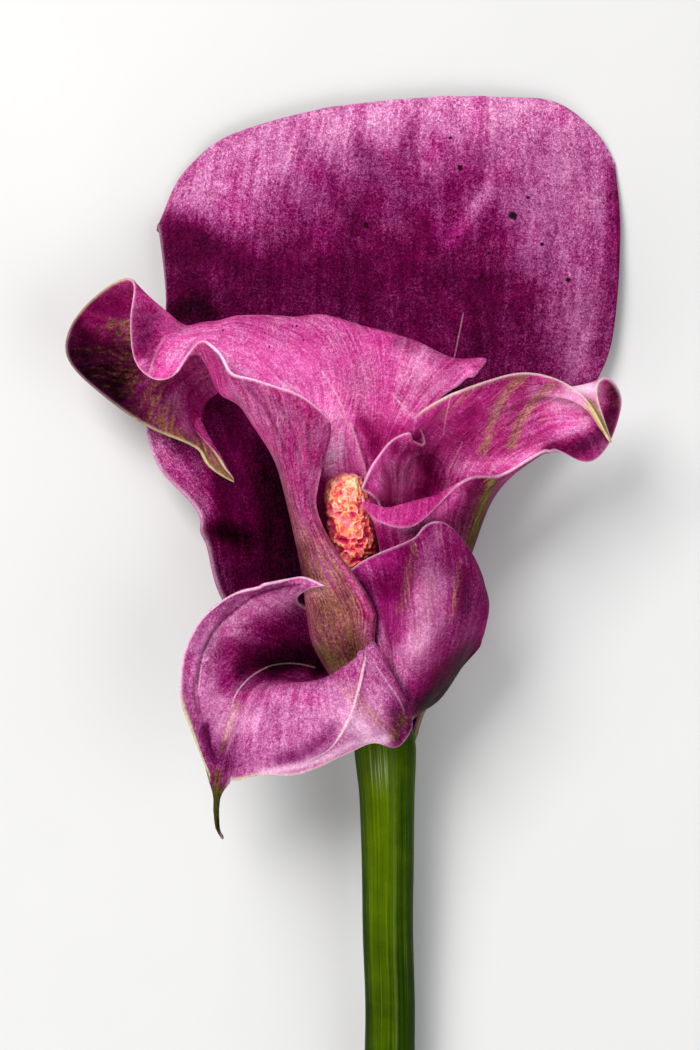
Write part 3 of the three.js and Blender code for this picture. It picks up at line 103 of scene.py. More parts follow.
        [(12.32, -4.62, 11.7), (17.73, 9.07, 12.3), (22.52, 24.94, 13.1), (24.84, 36.15, 15.5), (29.4, 44.84, 20.3), (38.97, 50.22, 25.5), (49.31, 51.45, 23.9), (52.85, 49.02, 19.5)],
        [(11.93, -4.43, 11.5), (16.95, 9.25, 11.7), (21.35, 25.74, 12.3), (23.25, 37.76, 15.1), (28.21, 47.21, 20.3), (38.99, 53.77, 25.1), (49.81, 55.44, 22.7), (54.72, 56.31, 20.7)],
        [(11.53, -4.24, 11.3), (16.15, 9.44, 11.3), (20.16, 26.14, 11.9), (21.86, 38.96, 14.9), (27.02, 48.8, 20.3), (37.84, 56.14, 24.7), (48.2, 58.97, 23.1), (51.71, 60.92, 23.5)],
        [(11.13, -4.04, 11.3), (15.15, 9.63, 11.1), (18.96, 26.54, 11.7), (20.46, 39.76, 14.9), (25.82, 49.58, 20.5), (37.03, 56.91, 25.1), (46.04, 58.47, 25.5), (49.05, 57.61, 27.1)],
        [(10.72, -4.04, 11.3), (14.35, 9.63, 11.1), (17.75, 26.74, 11.7), (19.26, 40.55, 15.1), (24.62, 49.97, 20.9), (36.2, 56.49, 25.9), (46.25, 55.23, 27.9), (52.24, 47.19, 28.7)],
        [(10.32, -4.03, 11.5), (13.54, 9.64, 11.3), (16.54, 26.94, 11.9), (18.05, 41.15, 15.3), (23.42, 50.35, 21.3), (34.6, 56.86, 26.3), (43.48, 57.95, 28.3), (47.72, 55.38, 29.1)],
        [(10.13, -4.02, 11.7), (12.79, 9.64, 11.5), (15.57, 27.14, 12.1), (16.76, 41.74, 15.7), (21.83, 50.74, 21.5), (31.46, 56.86, 26.3), (38.01, 59.51, 28.3), (41.87, 59.87, 28.9)],
        [(9.97, -4.21, 11.9), (12.3, 9.46, 11.9), (14.64, 27.35, 12.5), (15.39, 42.33, 16.3), (19.64, 50.93, 21.9), (27.17, 56.09, 25.9), (31.77, 59.53, 27.9), (34.48, 61.46, 28.5)],
        [(9.69, -4.38, 12.3), (11.68, 9.28, 12.5), (13.38, 27.35, 13.1), (13.76, 42.52, 17.1), (16.66, 50.32, 22.3), (22.08, 54.54, 25.5), (25.15, 57.21, 27.3), (26.69, 59.53, 27.9)],
        [(9.39, -4.75, 12.9), (10.79, 9.11, 13.3), (11.88, 27.16, 14.1), (12, 42.1, 18.1), (13.5, 49.12, 22.7), (16.59, 52.2, 25.1), (17.72, 54.1, 26.7), (18.49, 56.23, 27.3)],
        [(8.98, -5.11, 13.5), (9.97, 8.95, 14.3), (10.46, 26.77, 15.3), (10.2, 41.29, 19.3), (10.53, 46.35, 23.1), (12.27, 49.05, 25.1), (12.83, 50.59, 26.3), (13.22, 52.53, 26.7)],
        [(8.78, -5.48, 14.1), (9.16, 8.79, 15.5), (9.24, 26.18, 16.7), (8.59, 40.07, 20.7), (8.16, 43.58, 23.5), (8.73, 45.9, 25.3), (8.71, 47.05, 26.5), (8.7, 48.01, 27.1)],
        [(8.57, -5.84, 14.7), (8.54, 8.64, 16.7), (8.41, 25.41, 19.5), (7.96, 37.67, 23.3), (6.95, 40, 25.7), (5.57, 41.75, 26.7), (5.37, 42.71, 27.7), (5.17, 43.49, 28.1)],
        [(8.76, -6.21, 15.1), (8.13, 8.49, 18.1), (7.98, 24.64, 21.9), (6.75, 34.9, 26.1), (5.76, 36.64, 28.1), (4.77, 37.61, 29.1), (3.4, 38.2, 29.3), (3.4, 38.78, 29.7)],
    ],
    "lower_right_spathe": [
        [(8.42, -7.39, 18.5), (8.01, -3.16, 19.5), (7.21, 3.83, 20.5), (4.82, 10.81, 21.9), (2.84, 16.4, 23.9), (1.26, 19.97, 25.5), (0.48, 22.35, 26.7)],
        [(8.81, -7.58, 18.7), (8.58, -3.04, 21.5), (8.55, 3.97, 23.5), (6.77, 10.9, 24.3), (5.19, 16.83, 25.5), (3.41, 21.38, 27.1), (2.63, 24.13, 27.9)],
        [(9.41, -7.56, 18.9), (9.74, -2.93, 23.5), (9.88, 4.12, 26.7), (9.07, 11.05, 28.7), (8.08, 17.33, 29.7), (7.1, 22.8, 30.7), (6.31, 26.11, 31.1)],
        [(9.81, -7.78, 18.7), (11.1, -2.89, 24.1), (11.8, 4.22, 28.9), (11.75, 11.16, 31.7), (11.34, 17.79, 32.9), (10.75, 24, 33.3), (10.17, 27.69, 33.5)],
        [(10.73, -7.58, 18.7), (12.94, -2.88, 24.3), (14.14, 4.23, 29.1), (14.46, 11.17, 32.04), (14.44, 18.19, 33.17), (14.04, 24.78, 33.37), (13.46, 29.24, 33.5)],
        [(11.47, -7.39, 18.5), (14.39, -2.69, 24.1), (16.1, 4.41, 28.7), (16.81, 11.15, 31.57), (16.78, 18.56, 32.64), (16.19, 25.55, 32.84), (15.42, 31.56, 32.7)],
        [(12.2, -7.22, 18.1), (15.65, -2.53, 23.5), (18.08, 4.76, 27.9), (19.17, 11.51, 30.7), (19.53, 18.92, 31.5), (19.13, 25.93, 31.9), (18.36, 32.34, 31.5)],
        [(12.81, -7.06, 17.5), (16.86, -2.21, 22.3), (19.89, 5.09, 26.5), (21.56, 11.85, 29.1), (22.3, 18.89, 30.1), (22.3, 24.74, 30.3), (21.33, 30.39, 30.1)],
        [(13.03, -6.71, 16.7), (17.69, -1.88, 21.1), (21.52, 5.4, 24.7), (23.59, 11.97, 27.1), (24.73, 18.46, 27.9), (25.11, 22.76, 28.1), (24.33, 26.67, 28.1)],
        [(13.44, -6.56, 15.9), (18.53, -1.77, 19.5), (22.77, 5.51, 22.7), (25.25, 11.9, 24.9), (26.39, 16.44, 25.7), (26.77, 19.2, 25.9), (26.58, 22.14, 25.9)],
        [(13.66, -6.41, 15.1), (19.17, -1.86, 17.9), (23.44, 5.23, 20.7), (26.13, 10.45, 22.7), (27.27, 13.23, 23.5), (27.65, 15.22, 23.9), (27.65, 17.58, 23.9)],
        [(13.68, -6.26, 14.3), (19.02, -2.36, 16.1), (23.13, 3.94, 18.5), (25.83, 7.78, 20.3), (26.99, 9.6, 21.1), (27.56, 11.19, 21.5), (27.76, 13.17, 21.5)],
        [(13.69, -6.11, 13.5), (18.27, -3.24, 14.7), (21.8, 1.85, 16.5), (24.34, 4.7, 17.9), (25.71, 6.12, 18.5), (26.49, 7.13, 18.9), (26.88, 8.13, 19.1)],
    ],
    "front_spathe": [
        [(9.98, -7.47, 20.3), (8.75, -3.71, 23.5), (7.34, 1.16, 26.3), (5.95, 6.15, 28.3), (5.16, 8.14, 29.1), (5.35, 8.55, 29.7), (5.55, 8.17, 29.9), (5.55, 7.78, 29.9)],
        [(9.58, -8.03, 20.9), (8.15, -4.08, 23.9), (6.75, 0.98, 26.7), (5.36, 5.97, 28.7), (4.57, 7.97, 29.9), (6.12, 7.23, 30.7), (8.07, 4.29, 30.3), (9.65, 0.91, 29.1)],
        [(8.97, -8.76, 21.7), (7.36, -4.83, 24.5), (5.96, 0.42, 27.1), (4.57, 5.22, 29.3), (3.98, 7.22, 30.5), (6.12, 4.72, 31.3), (9.83, -0.19, 30.3), (12.61, -4.65, 27.5)],
        [(8.18, -9.33, 22.1), (6.57, -5.4, 24.9), (4.78, -0.34, 27.5), (3.4, 4.07, 29.7), (2.81, 6.08, 31.1), (4.75, 2.23, 31.9), (8.26, -2.9, 30.7), (13.04, -8.48, 25.9)],
        [(7.19, -9.71, 22.3), (5.58, -5.78, 25.1), (3.41, -1.1, 27.9), (1.65, 2.72, 30.1), (1.06, 4.73, 31.5), (2.42, -0.08, 32.3), (5.15, -5.62, 30.7), (9.91, -12.3, 24.7)],
        [(6, -9.72, 22.1), (4.01, -5.98, 25.1), (1.45, -2.08, 27.9), (-0.69, 1.17, 30.3), (-1.27, 3.19, 31.7), (-0.68, -2, 32.7), (1.26, -7.12, 31.5), (5.18, -10.94, 27.1)],
        [(4.82, -9.55, 21.7), (2.24, -6.02, 24.5), (-0.89, -2.69, 27.5), (-3.62, -0.41, 29.9), (-4.38, 1.42, 31.3), (-4.57, -3.18, 32.5), (-3.41, -9.04, 31.9), (-0.69, -13.69, 29.5)],
        [(3.84, -9.02, 20.9), (0.47, -5.51, 23.1), (-3.84, -3.15, 26.3), (-7.34, -1.26, 28.7), (-8.68, 0.59, 30.3), (-9.82, -4.01, 31.5), (-10.21, -11.21, 31.5), (-9.26, -17.11, 30.7)],
        [(2.85, -8.32, 19.5), (-1.11, -5.02, 21.5), (-6.61, -2.87, 24.5), (-11.28, -1.17, 26.7), (-13.6, 0.29, 28.3), (-15.51, -4.12, 29.7), (-16.26, -11.46, 30.7), (-16.26, -17.11, 30.7)],
        [(2.26, -7.62, 18.1), (-2.51, -3.95, 19.5), (-8.62, -1.44, 21.9), (-14.1, -0.15, 23.9), (-17.58, -1.22, 25.9), (-19.67, -5.8, 27.9), (-20.58, -12.69, 29.9), (-20.94, -18.27, 30.7)],
        [(2.06, -7.36, 17.4), (-3.01, -3.32, 18.5), (-9.43, -0.52, 20.6), (-15.32, 0.57, 22.5), (-18.89, -1.47, 24.8), (-21.07, -6.44, 27.1), (-22.52, -17.56, 29.9), (-22.83, -19.14, 29.7)],
        [(1.86, -7.1, 16.9), (-3.51, -2.68, 17.5), (-10.25, 0.4, 19.3), (-16.54, 1.29, 21.1), (-20.21, -1.73, 23.7), (-22.47, -7.08, 26.3), (-24.7, -21.53, 29.1), (-23.8, -30.68, 27.5)],
        [(1.76, -6.94, 16.3), (-3.92, -2.02, 16.8), (-10.86, 1.35, 18.4), (-17.36, 2.24, 20.3), (-21.31, -0.97, 23.2), (-24.06, -6.52, 25.9), (-26.69, -15.55, 28.3), (-25.99, -19.62, 28.7)],
        [(1.87, -7.59, 15.5), (-4.32, -1.36, 16.1), (-11.47, 2.3, 17.5), (-18.18, 3.19, 19.5), (-22.42, -0.21, 22.7), (-25.65, -5.95, 25.5), (-27.91, -10.91, 27.5), (-27.86, -14.36, 28.5)],
        [(1.67, -7.24, 14.7), (-4.93, -0.03, 14.9), (-12.5, 4.22, 16.1), (-19.42, 5.51, 18.1), (-24.24, 2.9, 21.7), (-27.86, -1.49, 24.5), (-30.33, -4.34, 26.1), (-31.84, -5.07, 27.1)],
        [(1.67, -6.89, 13.9), (-5.54, 1.53, 14.1), (-13.32, 6.58, 15.1), (-20.24, 8.26, 17.3), (-24.86, 6.83, 21.1), (-28.08, 3.99, 23.9), (-30.56, 2.1, 25.5), (-32.48, 1.16, 26.3)],
        [(1.47, -6.95, 12.9), (-5.75, 3.08, 13.1), (-13.55, 8.94, 14.1), (-19.86, 11.43, 16.7), (-24.08, 11.17, 20.7), (-27.13, 9.28, 23.3), (-29.41, 8.17, 24.9), (-31.54, 7.4, 25.5)],
        [(1.87, -6.83, 11.7), (-5.56, 4.65, 12.3), (-13.36, 11.33, 13.7), (-18.67, 14.01, 16.5), (-21.92, 15.12, 20.3), (-24.19, 14.79, 22.9), (-26.09, 14.24, 24.3), (-28.03, 13.47, 24.9)],
        [(2.48, -6.68, 10.9), (-4.96, 6.03, 11.7), (-12.36, 13.12, 13.5), (-16.68, 16.01, 16.5), (-18.75, 17.29, 20.1), (-20.25, 17.94, 22.5), (-21.58, 17.97, 23.9), (-22.75, 17.78, 24.3)],
        [(3.29, -6.52, 10.3), (-3.96, 7.22, 11.3), (-10.96, 14.32, 13.3), (-14.69, 16.6, 16.3), (-15.99, 18.28, 19.9), (-16.71, 18.92, 22.1), (-17.07, 19.34, 23.5), (-17.44, 19.55, 24.1)],
        [(4.29, -6.34, 9.9), (-2.75, 8.02, 11.1), (-9.36, 14.72, 13.1), (-12.5, 16.8, 16.3), (-13.41, 18.28, 19.9), (-13.35, 19.12, 22.3), (-12.92, 19.94, 23.9), (-12.51, 20.55, 24.7)],
        [(5.3, -6.15, 9.7), (-1.55, 8.42, 11.1), (-7.76, 14.51, 12.9), (-10.7, 16.6, 16.3), (-11.22, 18.09, 20.3), (-10.55, 18.96, 23.9), (-9.52, 20.19, 26.7), (-8.31, 21.4, 28.7)],
        [(6.31, -5.96, 9.5), (-0.34, 8.62, 11.1), (-6.16, 13.9, 12.7), (-9.11, 16, 16.3), (-9.43, 17.3, 20.7), (-8.37, 18.2, 25.3), (-6.55, 19.26, 29.1), (-3.99, 19.7, 31.5)],
    ],
}
# x, y, z and radius along the stem and the spadix
STEM = [
    (7.47, -7.88, 14.1, 1.4),
    (7.47, -8.48, 14.1, 3.2),
    (7.67, -9.48, 14.1, 4.8),
    (7.87, -11.08, 14.1, 6.01),
    (7.87, -13.48, 14.1, 6.11),
    (8.08, -17.92, 13.7, 5.81),
    (8.29, -23.59, 13.1, 5.41),
    (8.5, -35.73, 12.1, 5.12),
    (8.52, -49.95, 10.9, 4.99),
    (8.94, -64.26, 9.5, 4.94),
    (8.95, -76.58, 8.3, 4.95),
    (9.17, -90.97, 7.1, 5),
    (9.39, -105.37, 6.1, 5.07),
    (9.6, -118.79, 5.16, 5.08),
]
SPADIX = [
    (-0.7, 41.39, 25.1, 1.38),
    (-0.51, 40.6, 25.1, 2.95),
    (-0.12, 38.83, 25.1, 3.93),
    (0.47, 35.49, 24.9, 4.33),
    (0.87, 32.15, 24.3, 4.33),
    (1.46, 27.62, 23.3, 4.14),
    (1.86, 23.66, 21.9, 3.75),
    (2.06, 18.69, 20.7, 2.77),
    (2.46, 12.71, 19.3, 2.18),
    (3.26, 4.68, 17.3, 1.79),
    (4.06, -1.77, 15.9, 1.6),
]

# ---------------------------------------------------------------- geometry helpers (millimetres)
CAM = np.array([0.8674, 31.5607, 614.7042])  # the photograph's viewpoint, looking straight down
F_PX = 3000.0  # its focal length in photo pixels


def photo_px(p):
    """Where points of the object are in the photograph, in its pixels."""
    k = (CAM[2] - p[..., 2]) / F_PX
    return np.stack([350 + (p[..., 0] - CAM[0]) / k, 525 - (p[..., 1] - CAM[1]) / k], -1)


def catmull(g, x):
    """Catmull-Rom values of the rows of g at the row numbers x. x is a list, or for each second index one list."""
    n = g.shape[0]
    gp = np.concatenate([2 * g[:1] - g[1:2], g, 2 * g[-1:] - g[-2:-1]])
    i = np.clip(np.floor(x).astype(int), 0, n - 2)
    f = (x - i)[..., None]
    w = (-0.5 * f + f * f - 0.5 * f**3, 1 - 2.5 * f * f + 1.5 * f**3, 0.5 * f + 2 * f * f - 1.5 * f**3, -0.5 * f * f + 0.5 * f**3)
    if x.ndim == 1:
        return sum(wk.reshape((-1,) + (1,) * (g.ndim - 1)) * gp[i + k] for k, wk in enumerate(w))
    c = np.arange(x.shape[1])[None, :]
    return sum(wk * gp[i + k, c] for k, wk in enumerate(w))


def soften(g, its):
    for _ in range(its):
        for ax in (0, 1):
            m = np.moveaxis(g, ax, 0).copy()
            m[1:-1] = 0.5 * m[1:-1] + 0.25 * (m[:-2] + m[2:])
            g = np.moveaxis(m, 0, ax)
    return g


def unit(v):
    return v / np.maximum(np.linalg.norm(v, axis=-1, keepdims=True), 1e-9)


def normals(p):
    return unit(np.cross(np.gradient(p, axis=0), np.gradient(p, axis=1)))


def smooth01(x, a=0.0, b=1.0):
    t = np.clip((x - a) / (b - a), 0, 1)
    return t * t * (3 - 2 * t)


def hash01(i, j, k, seed):
    h = (i * 73856093) ^ (j * 19349663) ^ (k * 83492791) ^ (seed * 2654435761)
    h = (h ^ (h >> 13)) * 1274126177 & 0x7FFFFFFF
    return ((h ^ (h >> 16)) & 0xFFFF) / 65535.0


def value_noise(p, seed=0):
    """Smooth noise of about one bump per unit, from -1 to 1."""
    b = np.floor(p).astype(np.int64)
    f = p - b
    f = f * f * f * (f * (f * 6 - 15) + 10)
    out = 0.0
    for dx in (0, 1):
        for dy in (0, 1):
            for dz in (0, 1):
                w = (f[..., 0] if dx else 1 - f[..., 0]) * (f[..., 1] if dy else 1 - f[..., 1]) * (f[..., 2] if dz else 1 - f[..., 2])
                out = out + w * hash01(b[..., 0] + dx, b[..., 1] + dy, b[..., 2] + dz, seed)
    return out * 2 - 1


def line_distance(q, line):
    """Distance from points q to a polyline, in photo pixels."""
    best = np.full(q.shape[:-1], 1e9)
    pts = np.array(line, float)
    if len(pts) == 1:
        return np.linalg.norm(q - pts[0], axis=-1)
    for a, b in zip(pts[:-1], pts[1:]):
        d = b - a
        t = np.clip(((q - a) @ d) / (d @ d), 0, 1)
        best = np.minimum(best, np.linalg.norm(q - a - t[..., None] * d, axis=-1))
    return best


def line_offset(q, line):
    """Signed sideways distance from points q to a polyline, and how far they are past its ends, in photo pixels."""
    pts = np.array(line, float)
    pts = catmull(pts, np.linspace(0, len(pts) - 1, (len(pts) - 1) * 5 + 1))
    best = np.full(q.shape[:-1], 1e9)
    side = np.full(q.shape[:-1], 1e9)
    past = np.zeros(q.shape[:-1])
    last = len(pts) - 2
    for k, (a, b) in enumerate(zip(pts[:-1], pts[1:])):
        d = b - a
        size = np.linalg.norm(d)
        t = ((q - a) @ d) / size**2
        dist = np.linalg.norm(q - a - np.clip(t, 0, 1)[..., None] * d, axis=-1)
        lateral = ((q[..., 0] - a[0]) * d[1] - (q[..., 1] - a[1]) * d[0]) / size
        over = np.maximum(-t if k == 0 else -1.0, (t - 1) if k == last else -1.0) * size
        near = dist < best
        best = np.where(near, dist, best)
        side = np.where(near, lateral, side)
        past = np.where(near, over, past)
    return side, best, past


def rib_window(r, span):
    if span is None:
        return 1.0
    lo, hi = span
    return smooth01(r, lo - 0.6, lo + 0.2) * (1 - smooth01(r, hi - 0.2, hi + 0.6))


def new_object(name, verts, quads, mats=()):
    me = bpy.data.meshes.new(name)
    v = (verts / 1000.0).astype(np.float32)
    me.vertices.add(len(v))
    me.vertices.foreach_set("co", v.ravel())
    me.loops.add(quads.size)
    me.loops.foreach_set("vertex_index", quads.astype(np.int32).ravel())
    me.polygons.add(len(quads))
    me.polygons.foreach_set("loop_start", (np.arange(len(quads)) * 4).astype(np.int32))
    me.polygons.foreach_set("loop_total", np.full(len(quads), 4, np.int32))
    me.update(calc_edges=True)
    me.validate()
    me.polygons.foreach_set("use_smooth", np.ones(len(me.polygons), bool))
    for m in mats:
        me.materials.append(m)
    ob = bpy.data.objects.new(name, me)
    bpy.context.scene.collection.objects.link(ob)
    return ob


def put(ob, name, values):
    at = ob.data.attributes.new(name, "FLOAT_VECTOR" if values.ndim == 2 else "FLOAT", "POINT")
    at.data.foreach_set("vector" if values.ndim == 2 else "value", values.astype(np.float32).ravel())


# ---------------------------------------------------------------- one spathe
EDGE_STEPS = np.array([0.0, 0.035, 0.11, 0.22, 0.36, 0.55, 0.8, 1.15])


def spathe(name, size, thick, strokes, creases, margins, base, wave, seed, lines=(), inks=(), nudges=(), shape=None, calm=None):
    """A closed thin sheet with rounded margins, and its painted fields as point attributes.

    size: columns across and rows along; thick: (base, margin) in mm; base: {field: (side 0, side 1)};
    strokes: (field, value, radius px, strength, side, rib span, polyline px);
    creases: (height mm, radius px, side (not used) or None, rib span, polyline px);
    margins: (rib from, rib to, width mm, pale, green); lines and inks: (strength, side, rib span, polyline px), drawn
    thin, pale and dark;
    nudges: (px x, px y, radius px, move in mm, rib span), small moves of the sheet."""
    ribs = np.array(RIBS[name])
    nr, nc = ribs.shape[:2]
    per = 8
    g = catmull(ribs, np.linspace(0, nr - 1, (nr - 1) * per + 1))
    g = np.swapaxes(catmull(np.swapaxes(g, 0, 1), np.linspace(0, nc - 1, (nc - 1) * per + 1)), 0, 1)
    g = soften(g, 4)
    # columns at even mean distances, denser at the two side ribs
    step = np.linalg.norm(np.diff(g, axis=0), axis=2)[:, g.shape[1] // 3:].mean(1) + 0.02
    cum = np.r_[0, np.cumsum(step)]
    width = cum[-1]
    nu, nv = size
    inner = np.linspace(EDGE_STEPS[-1], width - EDGE_STEPS[-1], nu - 2 * len(EDGE_STEPS) + 2)[1:-1]
    at = np.r_[EDGE_STEPS, inner, (width - EDGE_STEPS)[::-1]]
    upos = np.interp(at, cum, np.arange(len(cum)))
    g = catmull(g, upos)
    # rows at even distances along each rib, denser at the margin and at the foot
    seg = np.linalg.norm(np.diff(g, axis=1), axis=2)
    s = np.concatenate([np.zeros((len(g), 1)), np.cumsum(seg, 1)], 1)
    total = s[:, -1]
    vpos = np.empty((nv, len(g)))
    for c in range(len(g)):
        inn = np.linspace(EDGE_STEPS[-1], total[c] - EDGE_STEPS[-1], nv - 2 * len(EDGE_STEPS) + 2)[1:-1]
        want = np.r_[EDGE_STEPS, inn, (total[c] - EDGE_STEPS)[::-1]]
        vpos[:, c] = np.interp(want, s[c], np.arange(s.shape[1]))
    p = np.swapaxes(catmull(np.swapaxes(g, 0, 1), vpos), 0, 1)
    rib = np.repeat((upos / per)[:, None], nv, 1)
    along = np.concatenate([np.zeros((nu, 1)), np.cumsum(np.linalg.norm(np.diff(p, axis=1), axis=2), 1)], 1)
    length = along[:, -1:]
    across = np.concatenate([np.zeros((1, nv)), np.cumsum(np.linalg.norm(np.diff(p, axis=0), axis=2), 0)], 0)
    top = length - along
    left, right = across, across[-1:] - across
    edge = np.minimum(np.minimum(top, along), np.minimum(left, right))
    free = np.minimum(top, np.minimum(left, right))
    v = along / length
    q = photo_px(p)
    for x, y, radius, move, span in nudges:
        w = np.exp(-(((q[..., 0] - x) ** 2 + (q[..., 1] - y) ** 2) / radius**2)) * rib_window(rib, span)
        p = p + w[..., None] * np.array(move)
    if shape is not None:
        p = shape(p, photo_px(p), rib)
    q = photo_px(p)
    # relief
    n = normals(p)
    lift = smooth01(v, 0.12, 0.45)
    h = wave[0] * lift * value_noise(p / wave[1], seed)
    h += wave[2] * lift * value_noise(p / (wave[1] * 0.42) + 7, seed + 1)
    ua = np.repeat(at[:, None], nv, 1)
    vein = value_noise(np.stack([ua * 0.62, along * 0.03, ua * 0], -1), seed + 2)
    h += wave[3] * smooth01(v, 0.05, 0.25) * vein
    ruffle = value_noise(np.stack([ua * 0.30, top * 0.05, ua * 0 + 3], -1), seed + 3)
    h += wave[4] * np.exp(-((free / 3.5) ** 2)) * ruffle * lift
    for height, radius, side, span, line in creases:
        h += height * np.exp(-((line_distance(q, line) / radius) ** 2)) * rib_window(rib, span)
    if calm is not None:
        h *= 1 - np.exp(-((line_distance(q, calm[0]) / calm[1]) ** 4))
    p = p + n * h[..., None]
    n = normals(p)
    t = thick[0] + (thick[1] - thick[0]) * smooth01(v, 0.0, 0.8)
    t = t + 0.10 * np.exp(-(((free - 0.5) / 0.45) ** 2))
    r = 0.5
    t = t * np.sqrt(np.clip(1 - (1 - np.clip(edge / r, 0, 1)) ** 2, 0, 1))
    # painted fields: the tone holds the pigment together with painted light and shade, and the veil a lilac haze with
    # painted sheen
    q = photo_px(p)
    fields = {}
    for f in ("tone", "veil", "tan", "pale", "green"):
        b = base.get(f, (0.0, 0.0))
        fields[f] = [np.full(v.shape, float(b[0])), np.full(v.shape, float(b[1]))]
    for f, value, radius, strength, side, span, line in strokes:
        w = strength * np.exp(-((line_distance(q, line) / radius) ** 2)) * rib_window(rib, span)
        for g, x in zip(("tone", "veil"), value) if f == "tone" else ((f, value),):
            for k in (0, 1):
                if side is None or side == k:
                    fields[g][k] = fields[g][k] * (1 - w) + x * w
    for a, b, w_mm, pale, green in margins:
        w = np.exp(-((free / (0.8 * w_mm)) ** 2)) * rib_window(rib, (a, b))
        for k in (0, 1):
            fields["pale"][k] = np.maximum(fields["pale"][k], w * pale)
            fields["green"][k] = np.maximum(fields["green"][k], w * green)
    for kind, drawn in (("line", lines), ("ink", inks)):
        mark = np.full((2,) + v.shape, 9.0)
        weight = np.zeros((2,) + v.shape)
        for strength, side, span, line in drawn:
            lateral, dist, past = line_offset(q, line)
            w = strength * rib_window(rib, span) * smooth01(-past, -0.5, 7.0) * np.exp(-((dist / 7) ** 2))
            for k in (0, 1):
                if side is None or side == k:
                    mark[k] = np.where(w > weight[k], lateral * 0.2, mark[k])
                    weight[k] = np.maximum(weight[k], w)
        fields[kind] = [mark[0], mark[1]]
        fields[kind + "w"] = [weight[0], weight[1]]
    # outer foot fades to green, where the spathe grows out of the stem
    out = 1 if base["outer"] == 1 else 0
    foot = (1 - smooth01(along + 1.5 * value_noise(np.stack([ua * 0.8, along * 0.1, ua * 0], -1), seed + 5), 0.5, base.get("foot", 9.0)))
    fields["green"][out] = np.maximum(fields["green"][out], 0.75 * foot)
    # mesh
    a = p + n * (t / 2)[..., None]
    b = p - n * (t / 2)[..., None]
    i0 = np.arange(nu * nv).reshape(nu, nv)
    inside = np.zeros((nu, nv), bool)
    inside[1:-1, 1:-1] = True
    i1 = i0.copy()
    i1[inside] = nu * nv + np.arange(inside.sum())
    verts = np.concatenate([a.reshape(-1, 3), b[inside]])

    def quads(i, flip):
        f = np.stack([i[:-1, :-1], i[1:, :-1], i[1:, 1:], i[:-1, 1:]], -1).reshape(-1, 4)
        return f[:, ::-1] if flip else f

    ob = new_object(name + "_tissue", verts, np.concatenate([quads(i0, False), quads(i1, True)]))
    for f in fields:
        put(ob, f, np.concatenate([fields[f][0].ravel(), fields[f][1][inside]]))
    crd = np.stack([ua, along, free], -1)
    put(ob, "crd", np.concatenate([crd.reshape(-1, 3), crd[inside] + [40.0, 0, 0]]))
    return ob


